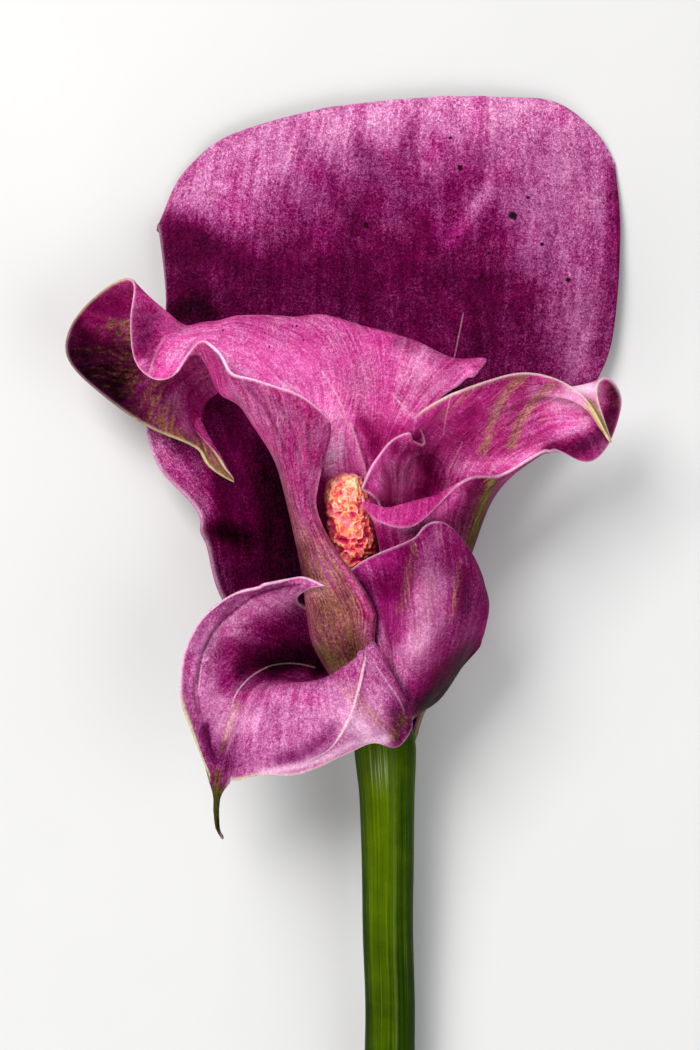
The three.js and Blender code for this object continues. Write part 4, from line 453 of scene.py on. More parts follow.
# ---------------------------------------------------------------- material nodes
class Nodes:
    def __init__(self, mat):
        mat.use_nodes = True
        self.t = mat.node_tree
        self.t.nodes.clear()
        self.out = self.t.nodes.new("ShaderNodeOutputMaterial")
        self.bsdf = self.t.nodes.new("ShaderNodeBsdfPrincipled")
        self.t.links.new(self.bsdf.outputs[0], self.out.inputs[0])

    def link(self, a, b):
        if isinstance(a, (int, float)):
            b.default_value = a
        elif isinstance(a, tuple):
            b.default_value = a if len(a) == len(b.default_value) else (*a, 1.0)[: len(b.default_value)]
        else:
            self.t.links.new(a, b)

    def attr(self, name, vector=False):
        n = self.t.nodes.new("ShaderNodeAttribute")
        n.attribute_name = name
        return n.outputs["Vector" if vector else "Fac"]

    def math(self, op, a, b=0.0, c=None, clamp=False):
        n = self.t.nodes.new("ShaderNodeMath")
        n.operation = op
        n.use_clamp = clamp
        self.link(a, n.inputs[0])
        self.link(b, n.inputs[1])
        if c is not None:
            self.link(c, n.inputs[2])
        return n.outputs[0]

    def add(self, *xs):
        r = xs[0]
        for x in xs[1:]:
            r = self.math("ADD", r, x)
        return r

    def mul(self, a, b):
        return self.math("MULTIPLY", a, b)

    def centred(self, x, k, mid=0.5):
        return self.math("MULTIPLY_ADD", x, k, -mid * k)

    def xyz(self, x, y, z=0.0):
        n = self.t.nodes.new("ShaderNodeCombineXYZ")
        for k, s in enumerate((x, y, z)):
            self.link(s, n.inputs[k])
        return n.outputs[0]

    def split(self, v):
        n = self.t.nodes.new("ShaderNodeSeparateXYZ")
        self.link(v, n.inputs[0])
        return n.outputs

    def noise(self, vec, scale=1.0, detail=2.0, rough=0.5, kind="FBM", distort=0.0):
        n = self.t.nodes.new("ShaderNodeTexNoise")
        n.noise_dimensions = "3D"
        n.noise_type = kind
        self.link(vec, n.inputs["Vector"])
        n.inputs["Scale"].default_value = scale
        n.inputs["Detail"].default_value = detail
        n.inputs["Roughness"].default_value = rough
        n.inputs["Distortion"].default_value = distort
        return n.outputs[0]

    def voronoi(self, vec, scale=1.0, feature="F1", random=1.0):
        n = self.t.nodes.new("ShaderNodeTexVoronoi")
        n.feature = feature
        self.link(vec, n.inputs["Vector"])
        n.inputs["Scale"].default_value = scale
        n.inputs["Randomness"].default_value = random
        return n

    def span(self, x, a, b, lo=0.0, hi=1.0):
        n = self.t.nodes.new("ShaderNodeMapRange")
        n.interpolation_type = "SMOOTHSTEP"
        self.link(x, n.inputs[0])
        for k, s in enumerate((a, b, lo, hi)):
            self.link(s, n.inputs[1 + k])
        return n.outputs[0]

    def ramp(self, x, stops):
        n = self.t.nodes.new("ShaderNodeValToRGB")
        self.link(x, n.inputs[0])
        e = n.color_ramp.elements
        while len(e) < len(stops):
            e.new(0.5)
        for k, (pos, col) in enumerate(stops):
            e[k].position = pos
            e[k].color = (*col, 1)
        return n.outputs[0]

    def mix(self, f, a, b, kind="MIX"):
        n = self.t.nodes.new("ShaderNodeMix")
        n.data_type = "RGBA"
        n.blend_type = kind
        n.clamp_factor = True
        self.link(f, n.inputs[0])
        self.link(a, n.inputs[6])
        self.link(b, n.inputs[7])
        return n.outputs[2]

    def position(self):
        n = self.t.nodes.new("ShaderNodeTexCoord")
        s = self.t.nodes.new("ShaderNodeVectorMath")
        s.operation = "SCALE"
        self.link(n.outputs["Object"], s.inputs[0])
        s.inputs["Scale"].default_value = 1000.0
        return s.outputs[0]

    def bump(self, height, strength, distance_mm, normal=None):
        n = self.t.nodes.new("ShaderNodeBump")
        n.inputs["Strength"].default_value = strength
        n.inputs["Distance"].default_value = distance_mm / 1000
        self.link(height, n.inputs["Height"])
        if normal is not None:
            self.link(normal, n.inputs["Normal"])
        return n.outputs[0]

    def finish(self, colour, rough, normal, spec=0.35, tint=(1, 1, 1), sss=0.0, sss_mm=0.5):
        b = self.bsdf.inputs
        self.link(colour, b["Base Color"])
        self.link(rough, b["Roughness"])
        if normal is not None:
            self.link(normal, b["Normal"])
        b["Specular IOR Level"].default_value = spec
        b["Specular Tint"].default_value = (*tint, 1)
        b["Subsurface Weight"].default_value = sss
        b["Subsurface Radius"].default_value = (1.0, 0.35, 0.6)
        b["Subsurface Scale"].default_value = sss_mm / 1000


ROSE = [
    (0.00, (0.004, 0.0001, 0.0010)), (0.14, (0.034, 0.0002, 0.0090)), (0.30, (0.115, 0.0004, 0.0350)), (0.45, (0.240, 0.0040, 0.0850)),
    (0.60, (0.410, 0.0200, 0.1700)), (0.75, (0.610, 0.0600, 0.3000)), (0.90, (0.810, 0.1150, 0.4300)), (1.00, (0.950, 0.1900, 0.5700)),
]
PLUM = [
    (0.00, (0.003, 0.0001, 0.0010)), (0.14, (0.032, 0.0002, 0.0100)), (0.30, (0.102, 0.0004, 0.0370)), (0.45, (0.200, 0.0030, 0.0860)),
    (0.60, (0.330, 0.0160, 0.1550)), (0.75, (0.470, 0.0480, 0.2500)), (0.90, (0.630, 0.0950, 0.3600)), (1.00, (0.780, 0.1700, 0.4800)),
]
# the haze ramp: a lilac bloom, partly painted sheen
HAZE_AND_SHEEN = [
    (0.00, (0.005, 0.0002, 0.0020)), (0.14, (0.050, 0.0020, 0.0230)), (0.30, (0.145, 0.0120, 0.0850)), (0.45, (0.280, 0.0520, 0.1800)),
    (0.60, (0.430, 0.1250, 0.3000)), (0.75, (0.630, 0.2350, 0.4600)), (0.90, (0.840, 0.3900, 0.6500)), (1.00, (0.970, 0.5500, 0.8100)),
]


def headroom(ramp):
    """The ramp squeezed to 0 ... 0.85, with one more, brighter step for the grain above full tone."""
    (_, a), (_, b) = ramp[-2:]
    return [(0.85 * x, c) for x, c in ramp] + [(1.0, tuple(min(1.0, q + 1.3 * (q - p)) for p, q in zip(a, b)))]


def petal_material(name, seed, rich, dim, lit, streak=0.35, fine=0.30, patch=0.3, grain=0.5, veins=0.2, specks=(), stripes=1.6, rough=0.46, line_mm=0.17):
    """Petal tissue: a rich pigment under a lilac haze that is partly the petal's bloom and partly painted sheen, both
    driven by the painted tone, with veins, patches and crinkled threads.
    """
    m = bpy.data.materials.new(name)
    k = Nodes(m)
    pos = k.position()
    u, v, edge = k.split(k.attr("crd", True))
    tone, tan, pale, green = (k.attr(a) for a in ("tone", "tan", "pale", "green"))
    wander = k.noise(pos, 0.13, 2.0, 0.5)
    uw = k.add(u, k.centred(wander, 2.2))
    s1 = k.noise(k.xyz(k.mul(uw, 0.7), k.mul(v, 0.05), seed), 1.0, 3.0, 0.6)
    s2 = k.noise(k.xyz(k.mul(uw, 2.3), k.mul(v, 0.18), seed + 5.0), 1.0, 3.0, 0.6)
    s3 = k.noise(k.xyz(k.mul(uw, stripes), k.mul(v, 0.040), seed + 9.0), 1.0, 2.0, 0.55)
    dash = k.noise(k.xyz(k.mul(uw, 3.4), k.mul(v, 0.28), seed + 3.0), 1.0, 1.0, 0.5)
    blot = k.noise(pos, 0.30, 3.0, 0.6)
    worm = k.noise(pos, 1.15, 1.0, 0.5, distort=1.5)
    cell = k.noise(pos, 1.9, 2.0, 0.7, distort=0.6)
    grit = k.noise(pos, 3.6, 1.0, 0.6)
    thread = k.span(k.math("ABSOLUTE", k.centred(worm, 1.0)), 0.0, 0.10, 1.0, 0.0)
    rise = k.add(k.centred(s1, streak), k.centred(s2, fine), k.centred(blot, patch),
                 k.centred(cell, grain * 0.9), k.centred(grit, grain * 0.6), k.centred(thread, grain * 0.16, 0.4))
    t = k.add(tone, k.mul(rise, k.add(0.5, k.mul(tone, 0.65))))
    # the lilac veil: partly the petal's own bloom, partly painted sheen and glints from the fine noise; lit and dim set
    # how much of it lies on light and on dark tones
    veil = k.add(k.centred(k.noise(pos, 0.16, 2.0, 0.5), 1.6), k.centred(s1, 1.3), k.centred(cell, 0.9), k.centred(thread, 0.45, 0.4), k.centred(tone, (lit - dim) / 0.6, 0.3), k.attr("veil"), dim)
    veil = k.math("MINIMUM", k.math("MAXIMUM", veil, 0.0), 1.0)
    lift = k.mul(t, 0.85)
    col = k.mix(veil, k.ramp(lift, headroom(rich)), k.ramp(lift, headroom(HAZE_AND_SHEEN)))
    # thin veins, a little darker
    vein = k.span(s3, 0.36, 0.46, 1.0, 0.0)
    col = k.mix(k.mul(vein, veins), col, (0.10, 0.002, 0.050))
    # tan stripes, as wide as the painted amount says, broken by dark dashes
    stripe_n = k.add(0.5, k.centred(s3, 1.5), k.centred(s2, 1.0), k.centred(cell, 0.25))
    stripe = k.span(k.add(stripe_n, tan), 0.70, 1.30)
    tanc = k.ramp(k.add(tone, k.centred(s2, 0.6), k.centred(cell, 0.8)), [
        (0.0, (0.010, 0.005, 0.0005)), (0.25, (0.085, 0.031, 0.010)), (0.5, (0.28, 0.108, 0.066)),
        (0.75, (0.56, 0.27, 0.22)), (1.0, (0.86, 0.56, 0.50))])
    tanc = k.mix(k.mul(k.span(dash, 0.34, 0.44, 1.0, 0.0), 0.50), tanc, (0.065, 0.003, 0.022))
    col = k.mix(k.mul(stripe, k.math("MINIMUM", k.mul(tan, 1.8), 0.92)), col, tanc)
    # green foot and margins
    greenc = k.ramp(k.add(k.mul(pale, 0.40), k.mul(tone, 0.75), k.centred(s2, 0.8), 0.12), [(0.05, (0.006, 0.008, 0.0003)), (0.35, (0.085, 0.095, 0.004)), (0.65, (0.30, 0.35, 0.03)), (1.0, (0.76, 0.78, 0.24))])
    col = k.mix(k.mul(green, k.span(s2, 0.15, 0.5, 0.75, 1.0)), col, greenc)
    # pale margins and folds; the pale lines are partly painted highlights on fold ridges
    palec = k.ramp(k.add(cell, k.centred(tone, 0.5)), [(0.2, (0.84, 0.34, 0.60)), (0.75, (0.98, 0.76, 0.88))])
    mark = k.span(k.math("ABSOLUTE", k.attr("line")), line_mm * 0.35, line_mm * 1.25, 1.0, 0.0)
    ink = k.span(k.math("ABSOLUTE", k.attr("ink")), line_mm * 0.4, line_mm * 2.4, 1.0, 0.0)
    # dark ink lines: veins, and painted shade along folds and creases
    col = k.mix(k.mul(ink, k.attr("inkw")), col, (0.050, 0.001, 0.020))
    col = k.mix(k.mul(pale, k.math("SUBTRACT", 1.0, k.mul(green, 0.75))), col, palec)
    col = k.mix(k.mul(mark, k.attr("linew")), col, k.ramp(cell, [(0.3, (0.80, 0.47, 0.50)), (0.7, (0.98, 0.82, 0.80))]))
    # dark specks
    for x, y, rad in specks:
        d = m.node_tree.nodes.new("ShaderNodeVectorMath")
        d.operation = "DISTANCE"
        ps = k.split(pos)
        k.link(k.xyz(k.add(ps[0], k.centred(cell, rad)), k.add(ps[1], k.centred(worm, rad)), 0.0), d.inputs[0])
        d.inputs[1].default_value = (x, y, 0)
        col = k.mix(k.mul(k.span(d.outputs["Value"], rad * 0.6, rad * 1.15, 1.0, 0.0), 0.96), col, (0.004, 0.002, 0.002))
    rgh = k.add(k.centred(cell, 0.30), k.centred(blot, 0.16), rough)
    height = k.add(k.mul(worm, 1.4), k.mul(cell, 1.0), k.mul(grit, 0.3), k.mul(s2, 0.4), k.mul(s3, 0.5), k.mul(blot, 1.6))
    nrm = k.bump(height, 0.75, 0.22)
    k.finish(col, rgh, nrm, spec=0.045, tint=(1.0, 0.30, 0.75), sss=0.06, sss_mm=0.4)
    return m


def mm_at(px, py, z):
    """The point of the object at height z under a place in the photograph."""
    k = (CAM[2] - z) / F_PX
    return CAM[0] + (px - 350) * k, CAM[1] - (py - 525) * k


# ---------------------------------------------------------------- back spathe
back = spathe(
    "back_spathe", (236, 166), (1.2, 0.62),
    strokes=[
        # inner face: a light arch at the top, partly painted light, and a dark body, partly painted shade from the
        # middle spathe
        ("tone", (0.64, 0.10), 60, 0.9, 0, (-1, 11), [(230, 180), (320, 130), (450, 110), (560, 130), (590, 200)]),
        ("tone", (0.24, -0.35), 48, 0.9, 0, (-1, 11), [(240, 285), (340, 275), (440, 280)]),
        ("tone", (0.35, -0.10), 30, 0.8, 0, (-1, 11), [(330, 205), (380, 200), (430, 215)]),
        ("tone", (0.20, -0.28), 28, 0.8, 0, (-1, 11), [(480, 290), (500, 310), (480, 345)]),
        ("tone", (0.75, -0.19), 24, 0.9, 0, (-1, 11), [(215, 165), (280, 128), (360, 112), (450, 105), (530, 108), (585, 135), (605, 170)]),
        ("tone", (0.65, -0.04), 28, 0.9, 0, (-1, 11), [(185, 200), (205, 180), (235, 160), (262, 150)]),
        ("tone", (0.66, -0.30), 18, 0.7, 0, (-1, 11), [(222, 212), (245, 212)]),
        ("tone", (0.53, 0.23), 26, 0.8, 0, (-1, 11), [(535, 160), (540, 230)]),
        ("tone", (0.43, 0.27), 22, 0.8, 0, (-1, 11), [(545, 260), (552, 300), (565, 350)]),
        ("tone", (0.58, 0.16), 26, 0.9, 0, (-1, 11), [(580, 160), (585, 220), (582, 270)]),
        ("tone", (0.55, 0.44), 20, 0.8, 0, (-1, 11), [(580, 300), (580, 370)]),
        ("tone", (0.28, -0.05), 16, 0.7, 0, (-1, 11), [(520, 290), (520, 330), (535, 365)]),
        ("tone", (0.40, -0.16), 9, 0.8, 0, (-1, 11), [(614, 170), (613, 250), (608, 330), (602, 365)]),
        # streaks along the veins
        ("tone", (0.73, 0.09), 10, 0.6, 0, (-1, 11), [(345, 108), (338, 140)]),
        ("tone", (0.63, -0.27), 9, 0.7, 0, (-1, 11), [(522, 128), (505, 165), (485, 195), (462, 222), (452, 240)]),
        ("tone", (0.41, -0.19), 9, 0.7, 0, (-1, 11), [(478, 168), (458, 200), (444, 225)]),
        ("tone", (0.49, 0.24), 12, 0.6, 0, (-1, 11), [(505, 190), (520, 225), (525, 250)]),
        ("tone", (0.41, 0.22), 8, 0.7, 0, (-1, 11), [(412, 128), (400, 170), (385, 225)]),
        ("tone", (0.31, 0.30), 13, 0.7, 0, (-1, 11), [(362, 150), (372, 175)]),
        ("tone", (0.53, 0.14), 9, 0.6, 0, (-1, 11), [(305, 145), (296, 185)]),
        ("tone", (0.44, -0.11), 9, 0.6, 0, (-1, 11), [(330, 160), (318, 205), (320, 245)]),
        ("tone", (0.63, -0.31), 9, 0.6, 0, (-1, 11), [(440, 135), (432, 165)]),
        ("tone", (0.44, -0.47), 10, 0.6, 0, (-1, 11), [(262, 225), (258, 250)]),
        ("tone", (0.20, 0.05), 10, 0.6, 0, (-1, 11), [(355, 215), (348, 260), (342, 300)]),
        ("tone", (0.26, -0.62), 9, 0.6, 0, (-1, 11), [(425, 225), (410, 265)]),
        ("tone", (0.79, 0.05), 6, 0.7, 0, (-1, 11), [(238, 151)]),
        ("tone", (0.80, 0.06), 6, 0.7, 0, (-1, 11), [(222, 190)]),
        # rim along the top left, and the bloom inside it
        ("tone", (0.66, -0.07), 8, 0.6, 0, None, [(182, 206), (198, 180), (226, 155), (270, 132), (330, 116)]),
        ("tone", (0.83, -0.61), 3.0, 0.75, 0, None, [(163, 218), (172, 190), (192, 158), (226, 130), (270, 112), (330, 102)]),
        ("tone", (0.28, -0.59), 3.0, 0.75, 0, None, [(616, 170), (618, 230), (618, 300), (612, 350)]),
        # painted highlight along the top right corner
        ("pale", 0.34, 2.6, 0.8, 0, None, [(597, 121), (610, 136), (617, 154)]),
        # painted shade at the left, darkest in a painted shadow pocket
        ("tone", (0.18, -0.26), 24, 0.9, 0, (-1, 11), [(182, 245), (190, 290)]),
        ("tone", (0.20, -0.26), 14, 0.95, 0, (-1, 11), [(172, 232), (190, 234), (206, 242), (224, 252)]),
        ("tone", (0.27, 0.14), 15, 0.8, 0, (-1, 11), [(205, 272)]),
        ("tone", (0.00, 0.04), 13, 0.95, 0, (-1, 11), [(178, 315), (200, 305), (205, 315)]),
        ("tone", (0.21, 0.12), 14, 0.6, 0, (-1, 11), [(250, 270), (258, 285)]),
        # the flank that shows at the lower left: painted sheen on the band along its margin, painted shade in the dark
        # funnel to its right
        ("tone", (0.35, -0.55), 60, 1.0, 0, (-1, 6), [(200, 400), (235, 440), (245, 500), (250, 580)]),
        ("tone", (0.69, -0.46), 17, 0.95, 0, (-1, 4), [(148, 425), (165, 460), (188, 488), (202, 506)]),
        ("tone", (0.56, 0.03), 5, 0.8, 0, (-1, 4), [(146, 430), (160, 470), (190, 500), (203, 514)]),
        ("tone", (0.71, -0.95), 9, 0.8, 0, (-1, 5), [(192, 450), (203, 475)]),
        ("tone", (0.23, -0.53), 12, 0.7, 0, (-1, 6), [(218, 475), (222, 503)]),
        ("tone", (0.25, -0.36), 12, 0.8, 0, (-1, 7), [(225, 408), (232, 440)]),
        ("tone", (0.02, -0.15), 12, 0.9, 0, (-1, 6), [(218, 530), (245, 540)]),
        ("tone", (0.37, -0.09), 9, 0.9, 0, (-1, 6), [(213, 550), (220, 575), (228, 592)]),
        ("tone", (0.25, -0.39), 14, 0.7, 0, (-1, 6), [(245, 572)]),
        ("tone", (0.09, -0.19), 17, 0.9, 0, (-1, 8), [(262, 450), (268, 510), (270, 570)]),
        ("tone", (0.01, -0.25), 20, 0.95, 0, (-1, 8), [(285, 480), (294, 540), (296, 600)]),
    ],
    creases=[
        (-0.35, 5, None, (-1, 3), [(163, 385), (185, 425), (200, 445), (206, 505)]),
        (0.25, 9, None, (2, 9), [(300, 130), (330, 200), (345, 300)]),
        (-0.25, 9, None, (4, 10), [(470, 120), (462, 200), (450, 300)]),
        (0.22, 8, None, (5, 11), [(560, 140), (545, 230), (520, 330)]),
        (-0.22, 8, None, (1, 6), [(240, 140), (265, 220), (290, 300)]),
    ],
    margins=[(-1, 11, 0.25, 0.16, 0.0), (-1, 0.8, 0.8, 0.28, 0.0)],
    base={"tone": (0.33, 0.44), "veil": (-0.20, -0.31), "tan": (0.0, 0.12), "outer": 1, "foot": 22.0},
    nudges=[(202, 532, 9, (-0.9, 0, 0), (-1, 3))],
    wave=(0.34, 15.0, 0.13, 0.035, 0.30), seed=11,
    lines=[(0.22, 0, None, [(464, 310), (458, 340), (453, 364)])])
back.data.materials.append(petal_material(
    "back_petal", 1.0, PLUM, 0.30, 1.02, streak=0.30, fine=0.18, patch=0.36, grain=0.80, veins=0.10,
    specks=[(*mm_at(x, y, 2.6), r) for x, y, r in (
        (450, 139, .42), (460, 169, .62), (512, 217, 1.05), (366, 227, .62), (527, 199, .38),
        (541, 246, .46), (567, 281, .58), (457, 239, .36), (488, 255, .36))]))

# ---------------------------------------------------------------- middle spathe
middle = spathe(
    "middle_spathe", (372, 128), (1.15, 0.60),
    strokes=[
        # inner face: the bright throat
        ("tone", (0.77, 0.09), 60, 0.9, 0, None, [(240, 345), (340, 355), (440, 365)]),
        ("tone", (0.96, -0.35), 22, 0.8, 0, None, [(235, 348), (270, 358), (305, 368)]),
        ("tone", (0.67, -0.16), 13, 0.8, 0, None, [(240, 322), (290, 320), (340, 326), (390, 338)]),
        ("tone", (0.39, 0.21), 8, 0.7, 0, None, [(400, 342), (440, 358), (468, 366)]),
        ("tone", (0.77, 0.13), 16, 0.6, 0, None, [(385, 380), (415, 365)]),
        ("tone", (0.65, -0.07), 13, 0.7, 0, None, [(445, 362), (455, 375)]),
        ("tone", (1.03, -0.14), 8, 0.8, 0, None, [(214, 344), (230, 364), (262, 378), (300, 392), (326, 408)]),
        ("tone", (0.92, 0.11), 12, 0.8, 0, None, [(320, 385), (335, 400)]),
        ("tone", (1.03, 0.54), 13, 0.9, 0, None, [(336, 415), (336, 440), (334, 465)]),
        ("tone", (1.03, -0.14), 9, 0.8, 0, None, [(348, 420), (356, 445), (358, 466)]),
        # painted shade beside the second fold of the throat
        ("tone", (0.40, -0.67), 9, 0.9, 0, None, [(366, 424), (374, 440), (372, 456)]),
        ("tone", (0.53, -0.65), 11, 0.8, 0, None, [(384, 428), (398, 430)]),
        ("tone", (0.84, -0.03), 9, 0.7, 0, None, [(402, 418), (410, 410)]),
        ("tone", (0.85, -0.28), 12, 0.7, 0, None, [(352, 398), (372, 408), (390, 408)]),
        ("tone", (0.97, 0.14), 6, 0.9, 0, None, [(454, 386), (468, 372)]),
        ("tone", (0.87, -0.26), 9, 0.9, 0, None, [(366, 500), (372, 520), (377, 545)]),
        ("tone", (0.97, -0.14), 8, 0.85, 0, None, [(334, 430), (336, 446)]),
        ("tone", (0.88, -0.16), 8, 0.85, 0, None, [(338, 462), (346, 478)]),
        ("tone", (0.15, -0.05), 6, 0.9, None, (-1, 12), [(140, 284), (148, 298), (158, 318)]),
        # folds in the throat: painted highlights on their ridges, painted shade beside them
        ("tone", (0.96, 0.00), 3.2, 0.85, 0, (22, 30), [(318, 368), (327, 381), (336, 398), (342, 413), (345, 430)]),
        ("tone", (0.62, -0.00), 3.6, 0.7, 0, (22, 30), [(330, 376), (341, 392), (349, 408), (355, 424)]),
        ("tone", (1.03, 0.12), 3.0, 0.8, 0, None, [(348, 418), (355, 443), (362, 465), (370, 488)]),
        ("tone", (0.72, -0.03), 4.0, 0.7, 0, None, [(361, 432), (367, 450), (373, 468), (379, 484)]),
        ("tone", (0.80, -0.03), 3.0, 0.8, 0, None, [(388, 391), (400, 404), (411, 417)]),
        ("tone", (0.63, -0.00), 3.5, 0.7, 0, None, [(396, 391), (408, 404), (416, 414)]),
        ("tone", (0.64, 0.01), 4.5, 0.7, 0, None, [(456, 370), (440, 388), (427, 404)]),
        ("tone", (0.68, 0.14), 4.0, 0.8, 0, None, [(466, 368), (454, 384), (441, 400)]),
        # inner face of the left lobe and of the roll in front of it: painted light on the roll, painted shade on the
        # face left of its crest
        ("tone", (0.52, -0.24), 20, 0.9, 0, (8.5, 24), [(142, 300), (158, 312), (165, 322)]),
        ("tone", (0.25, -0.32), 12, 0.9, 0, (8.5, 24), [(142, 322), (144, 350)]),
        ("tone", (0.82, -0.36), 6, 0.8, 0, (8.5, 24), [(140, 284), (156, 300), (172, 322)]),
        ("tone", (0.27, -0.51), 8, 0.7, 0, (8.5, 24), [(152, 335), (156, 345)]),
        ("tone", (0.66, 0.37), 8, 0.8, 0, (8.5, 24), [(142, 366), (150, 374)]),
        ("tone", (0.81, 0.22), 14, 0.9, 0, (4, 10.8), [(168, 352), (172, 366)]),
        ("tone", (0.87, 0.05), 11, 0.9, 0, (2, 12), [(184, 340), (205, 336)]),
        ("tone", (0.74, -0.07), 7, 0.9, 0, (2, 12), [(196, 346), (188, 356), (176, 371), (160, 377)]),
        # outer face: front wall and tube
        ("tone", (0.51, 0.06), 50, 0.95, 1, (-1, 9), [(240, 385), (285, 425), (300, 500), (310, 560)]),
        ("tone", (0.62, -0.39), 15, 0.95, 1, (-1, 9), [(198, 362), (212, 376), (222, 388)]),
        ("tone", (0.82, -0.09), 7, 0.9, 1, (-1, 9), [(228, 392), (245, 408), (258, 426), (264, 440)]),
        ("tone", (0.63, 0.12), 9, 0.8, 1, (-1, 9), [(240, 396), (262, 422), (274, 450)]),
        ("tone", (0.49, 0.12), 14, 0.8, 1, (-1, 9), [(290, 404), (305, 430)]),
        ("tone", (0.47, -0.10), 8, 0.8, 1, (-1, 9), [(321, 412), (322, 440), (318, 462)]),
        ("tone", (0.58, 0.13), 10, 0.7, 1, (-1, 9), [(302, 462), (308, 500)]),
        ("tone", (0.41, -0.03), 7, 0.7, 1, (-1, 9), [(286, 500), (294, 530)]),
        ("tone", (0.21, -0.02), 10, 0.8, 1, (-1, 9), [(302, 552), (304, 576)]),
        ("tone", (0.52, -0.05), 9, 0.8, 1, (-1, 9), [(328, 545), (342, 575), (356, 596)]),
        ("tone", (0.31, 0.08), 24, 0.9, 1, (-1, 9), [(328, 610), (338, 645)]),
        ("tone", (0.37, 0.03), 10, 0.8, 1, (-1, 9), [(322, 625), (330, 655)]),
        ("tone", (0.32, 0.08), 9, 0.7, 1, (-1, 9), [(345, 595), (352, 625), (355, 650)]),
        ("tone", (0.46, 0.08), 8, 0.8, 1, (-1, 9), [(326, 592), (334, 606), (346, 620)]),
        ("tone", (0.00, 0.10), 6, 0.7, 1, (-1, 9), [(366, 600), (370, 616)]),
        ("tone", (0.78, -0.04), 6, 0.7, 1, (-1, 9), [(308, 590), (326, 590)]),
        # the rolled edge at the right of the tube
        ("tone", (0.98, -0.12), 6, 0.95, None, (-1, 1.4), [(322, 476), (319, 500), (322, 520)]),
        ("tone", (0.61, -0.23), 6, 0.9, None, (-1, 1.4), [(326, 534), (345, 568), (371, 615)]),
        # outer face of the left lobe, its dark pigment deepened by painted shade inside the fold
        ("tone", (0.00, -0.37), 50, 1.0, 1, (9, 24), [(80, 360), (110, 385), (130, 400)]),
        ("tone", (0.32, -0.48), 15, 0.95, 1, (9, 24), [(96, 305), (112, 298), (128, 300)]),
        ("tone", (0.48, -0.25), 8, 0.8, 1, (9, 24), [(128, 290), (130, 322)]),
        ("tone", (0.40, -0.32), 10, 0.8, 1, (9, 24), [(92, 322), (118, 322)]),
        ("tone", (0.12, -0.74), 9, 0.8, 1, (9, 24), [(76, 325), (82, 335)]),
        ("tone", (0.29, 0.10), 9, 0.8, 1, (9, 24), [(112, 338), (130, 338)]),
        ("tone", (0.07, 0.25), 12, 0.7, 1, (9, 24), [(112, 352), (128, 356)]),
        ("tone", (0.35, 0.19), 18, 0.95, 1, (9, 24), [(150, 390), (160, 415)]),
        ("tone", (0.46, -0.54), 10, 0.9, 1, (9, 24), [(180, 384), (192, 400)]),
        ("tone", (0.48, 0.24), 8, 0.8, 1, (9, 24), [(176, 400), (186, 420), (190, 434)]),
        ("tone", (0.34, -0.49), 7, 0.8, 1, (9, 24), [(196, 410), (198, 425)]),
        ("tone", (0.38, 0.11), 8, 0.9, 1, (9, 24), [(165, 430), (192, 440)]),
        ("tone", (0.42, 0.03), 7, 0.9, 1, (9, 24), [(196, 436), (208, 452), (218, 466), (232, 482)]),
        ("tan", 0.12, 34, 0.9, 1, (9, 24), [(108, 335), (108, 375)]),
        ("tan", 1.0, 2.4, 0.95, 1, (9, 24), [(131, 326), (123, 344), (122, 370), (133, 402)]),
        ("tan", 0.95, 2.2, 0.95, 1, (9, 24), [(128, 321), (114, 337), (110, 362), (122, 396)]),
        ("tan", 0.8, 2.0, 0.9, 1, (9, 24), [(122, 317), (104, 332), (98, 358), (108, 386)]),
        ("tan", 0.6, 1.8, 0.9, 1, (9, 24), [(112, 318), (93, 332), (87, 356), (96, 380)]),
        ("tan", 0.9, 2.4, 0.9, 1, (9, 24), [(134, 336), (131, 356), (134, 382)]),
        ("tan", 0.50, 15, 0.95, 1, (9, 24), [(152, 392), (164, 412), (178, 432)]),
        ("tan", 0.80, 6, 0.95, 1, (9, 24), [(150, 418), (172, 434), (198, 446), (214, 466), (230, 482)]),
        ("tan", 0.0, 9, 0.9, 1, (9, 24), [(186, 380), (195, 400), (198, 420)]),
        ("tan", 0.55, 7, 0.8, 1, (-1, 9), [(268, 455), (290, 500), (303, 545)]),
        ("tan", 0.60, 22, 0.9, 1, (-1, 9), [(310, 545), (330, 590), (345, 640)]),
        ("tan", 0.78, 24, 0.9, 1, (-1, 9), [(325, 590), (340, 630), (345, 665)]),
        ("green", 0.25, 7, 0.9, 1, (9, 24), [(205, 450), (218, 468), (232, 482)]),
        ("green", 0.40, 8, 0.9, 1, (-1, 9), [(322, 650), (336, 662)]),
    ],
    creases=[
        (0.45, 3.5, None, (22, 30), [(320, 369), (330, 385), (338, 398), (345, 415), (348, 428)]),
        (0.35, 3.0, None, (22, 30), [(392, 396), (400, 405), (413, 420)]),
        (0.30, 5, None, (-1, 8), [(262, 430), (290, 490), (315, 560), (335, 640)]),
        (-0.30, 5, None, (-1, 8), [(285, 425), (303, 490), (328, 580), (346, 650)]),
        (0.22, 4, None, (9, 20), [(122, 325), (112, 360), (128, 400)]),
        (-0.22, 4, None, (9, 20), [(108, 325), (98, 358), (112, 392)]),
    ],
    margins=[(0.6, 5.5, 0.42, 0.85, 0.0), (5.5, 12.5, 0.28, 0.50, 0.0), (12.5, 16.0, 0.38, 0.44, 0.80), (16.0, 22.0, 0.42, 0.44, 0.95),
             (22.0, 30.0, 0.22, 0.25, 0.0), (-1, 0.6, 0.3, 0.2, 0.0)],
    base={"tone": (0.54, 0.68), "veil": (-0.22, -0.30), "tan": (0.0, 0.25), "outer": 1, "foot": 16.0},
    nudges=[(186, 312, 19, (0, -3.0, 0), None), (216, 316, 16, (0, -1.2, 0), None), (332, 325, 27, (0, 2.4, 0), None),
            (222, 380, 20, (-0.6, -2.3, 0), None)],
    wave=(0.26, 12.0, 0.09, 0.035, 0.20), seed=23,
    # the pale lines paint highlights on the throat's folds and on the roll's crest; the first two inks paint shade
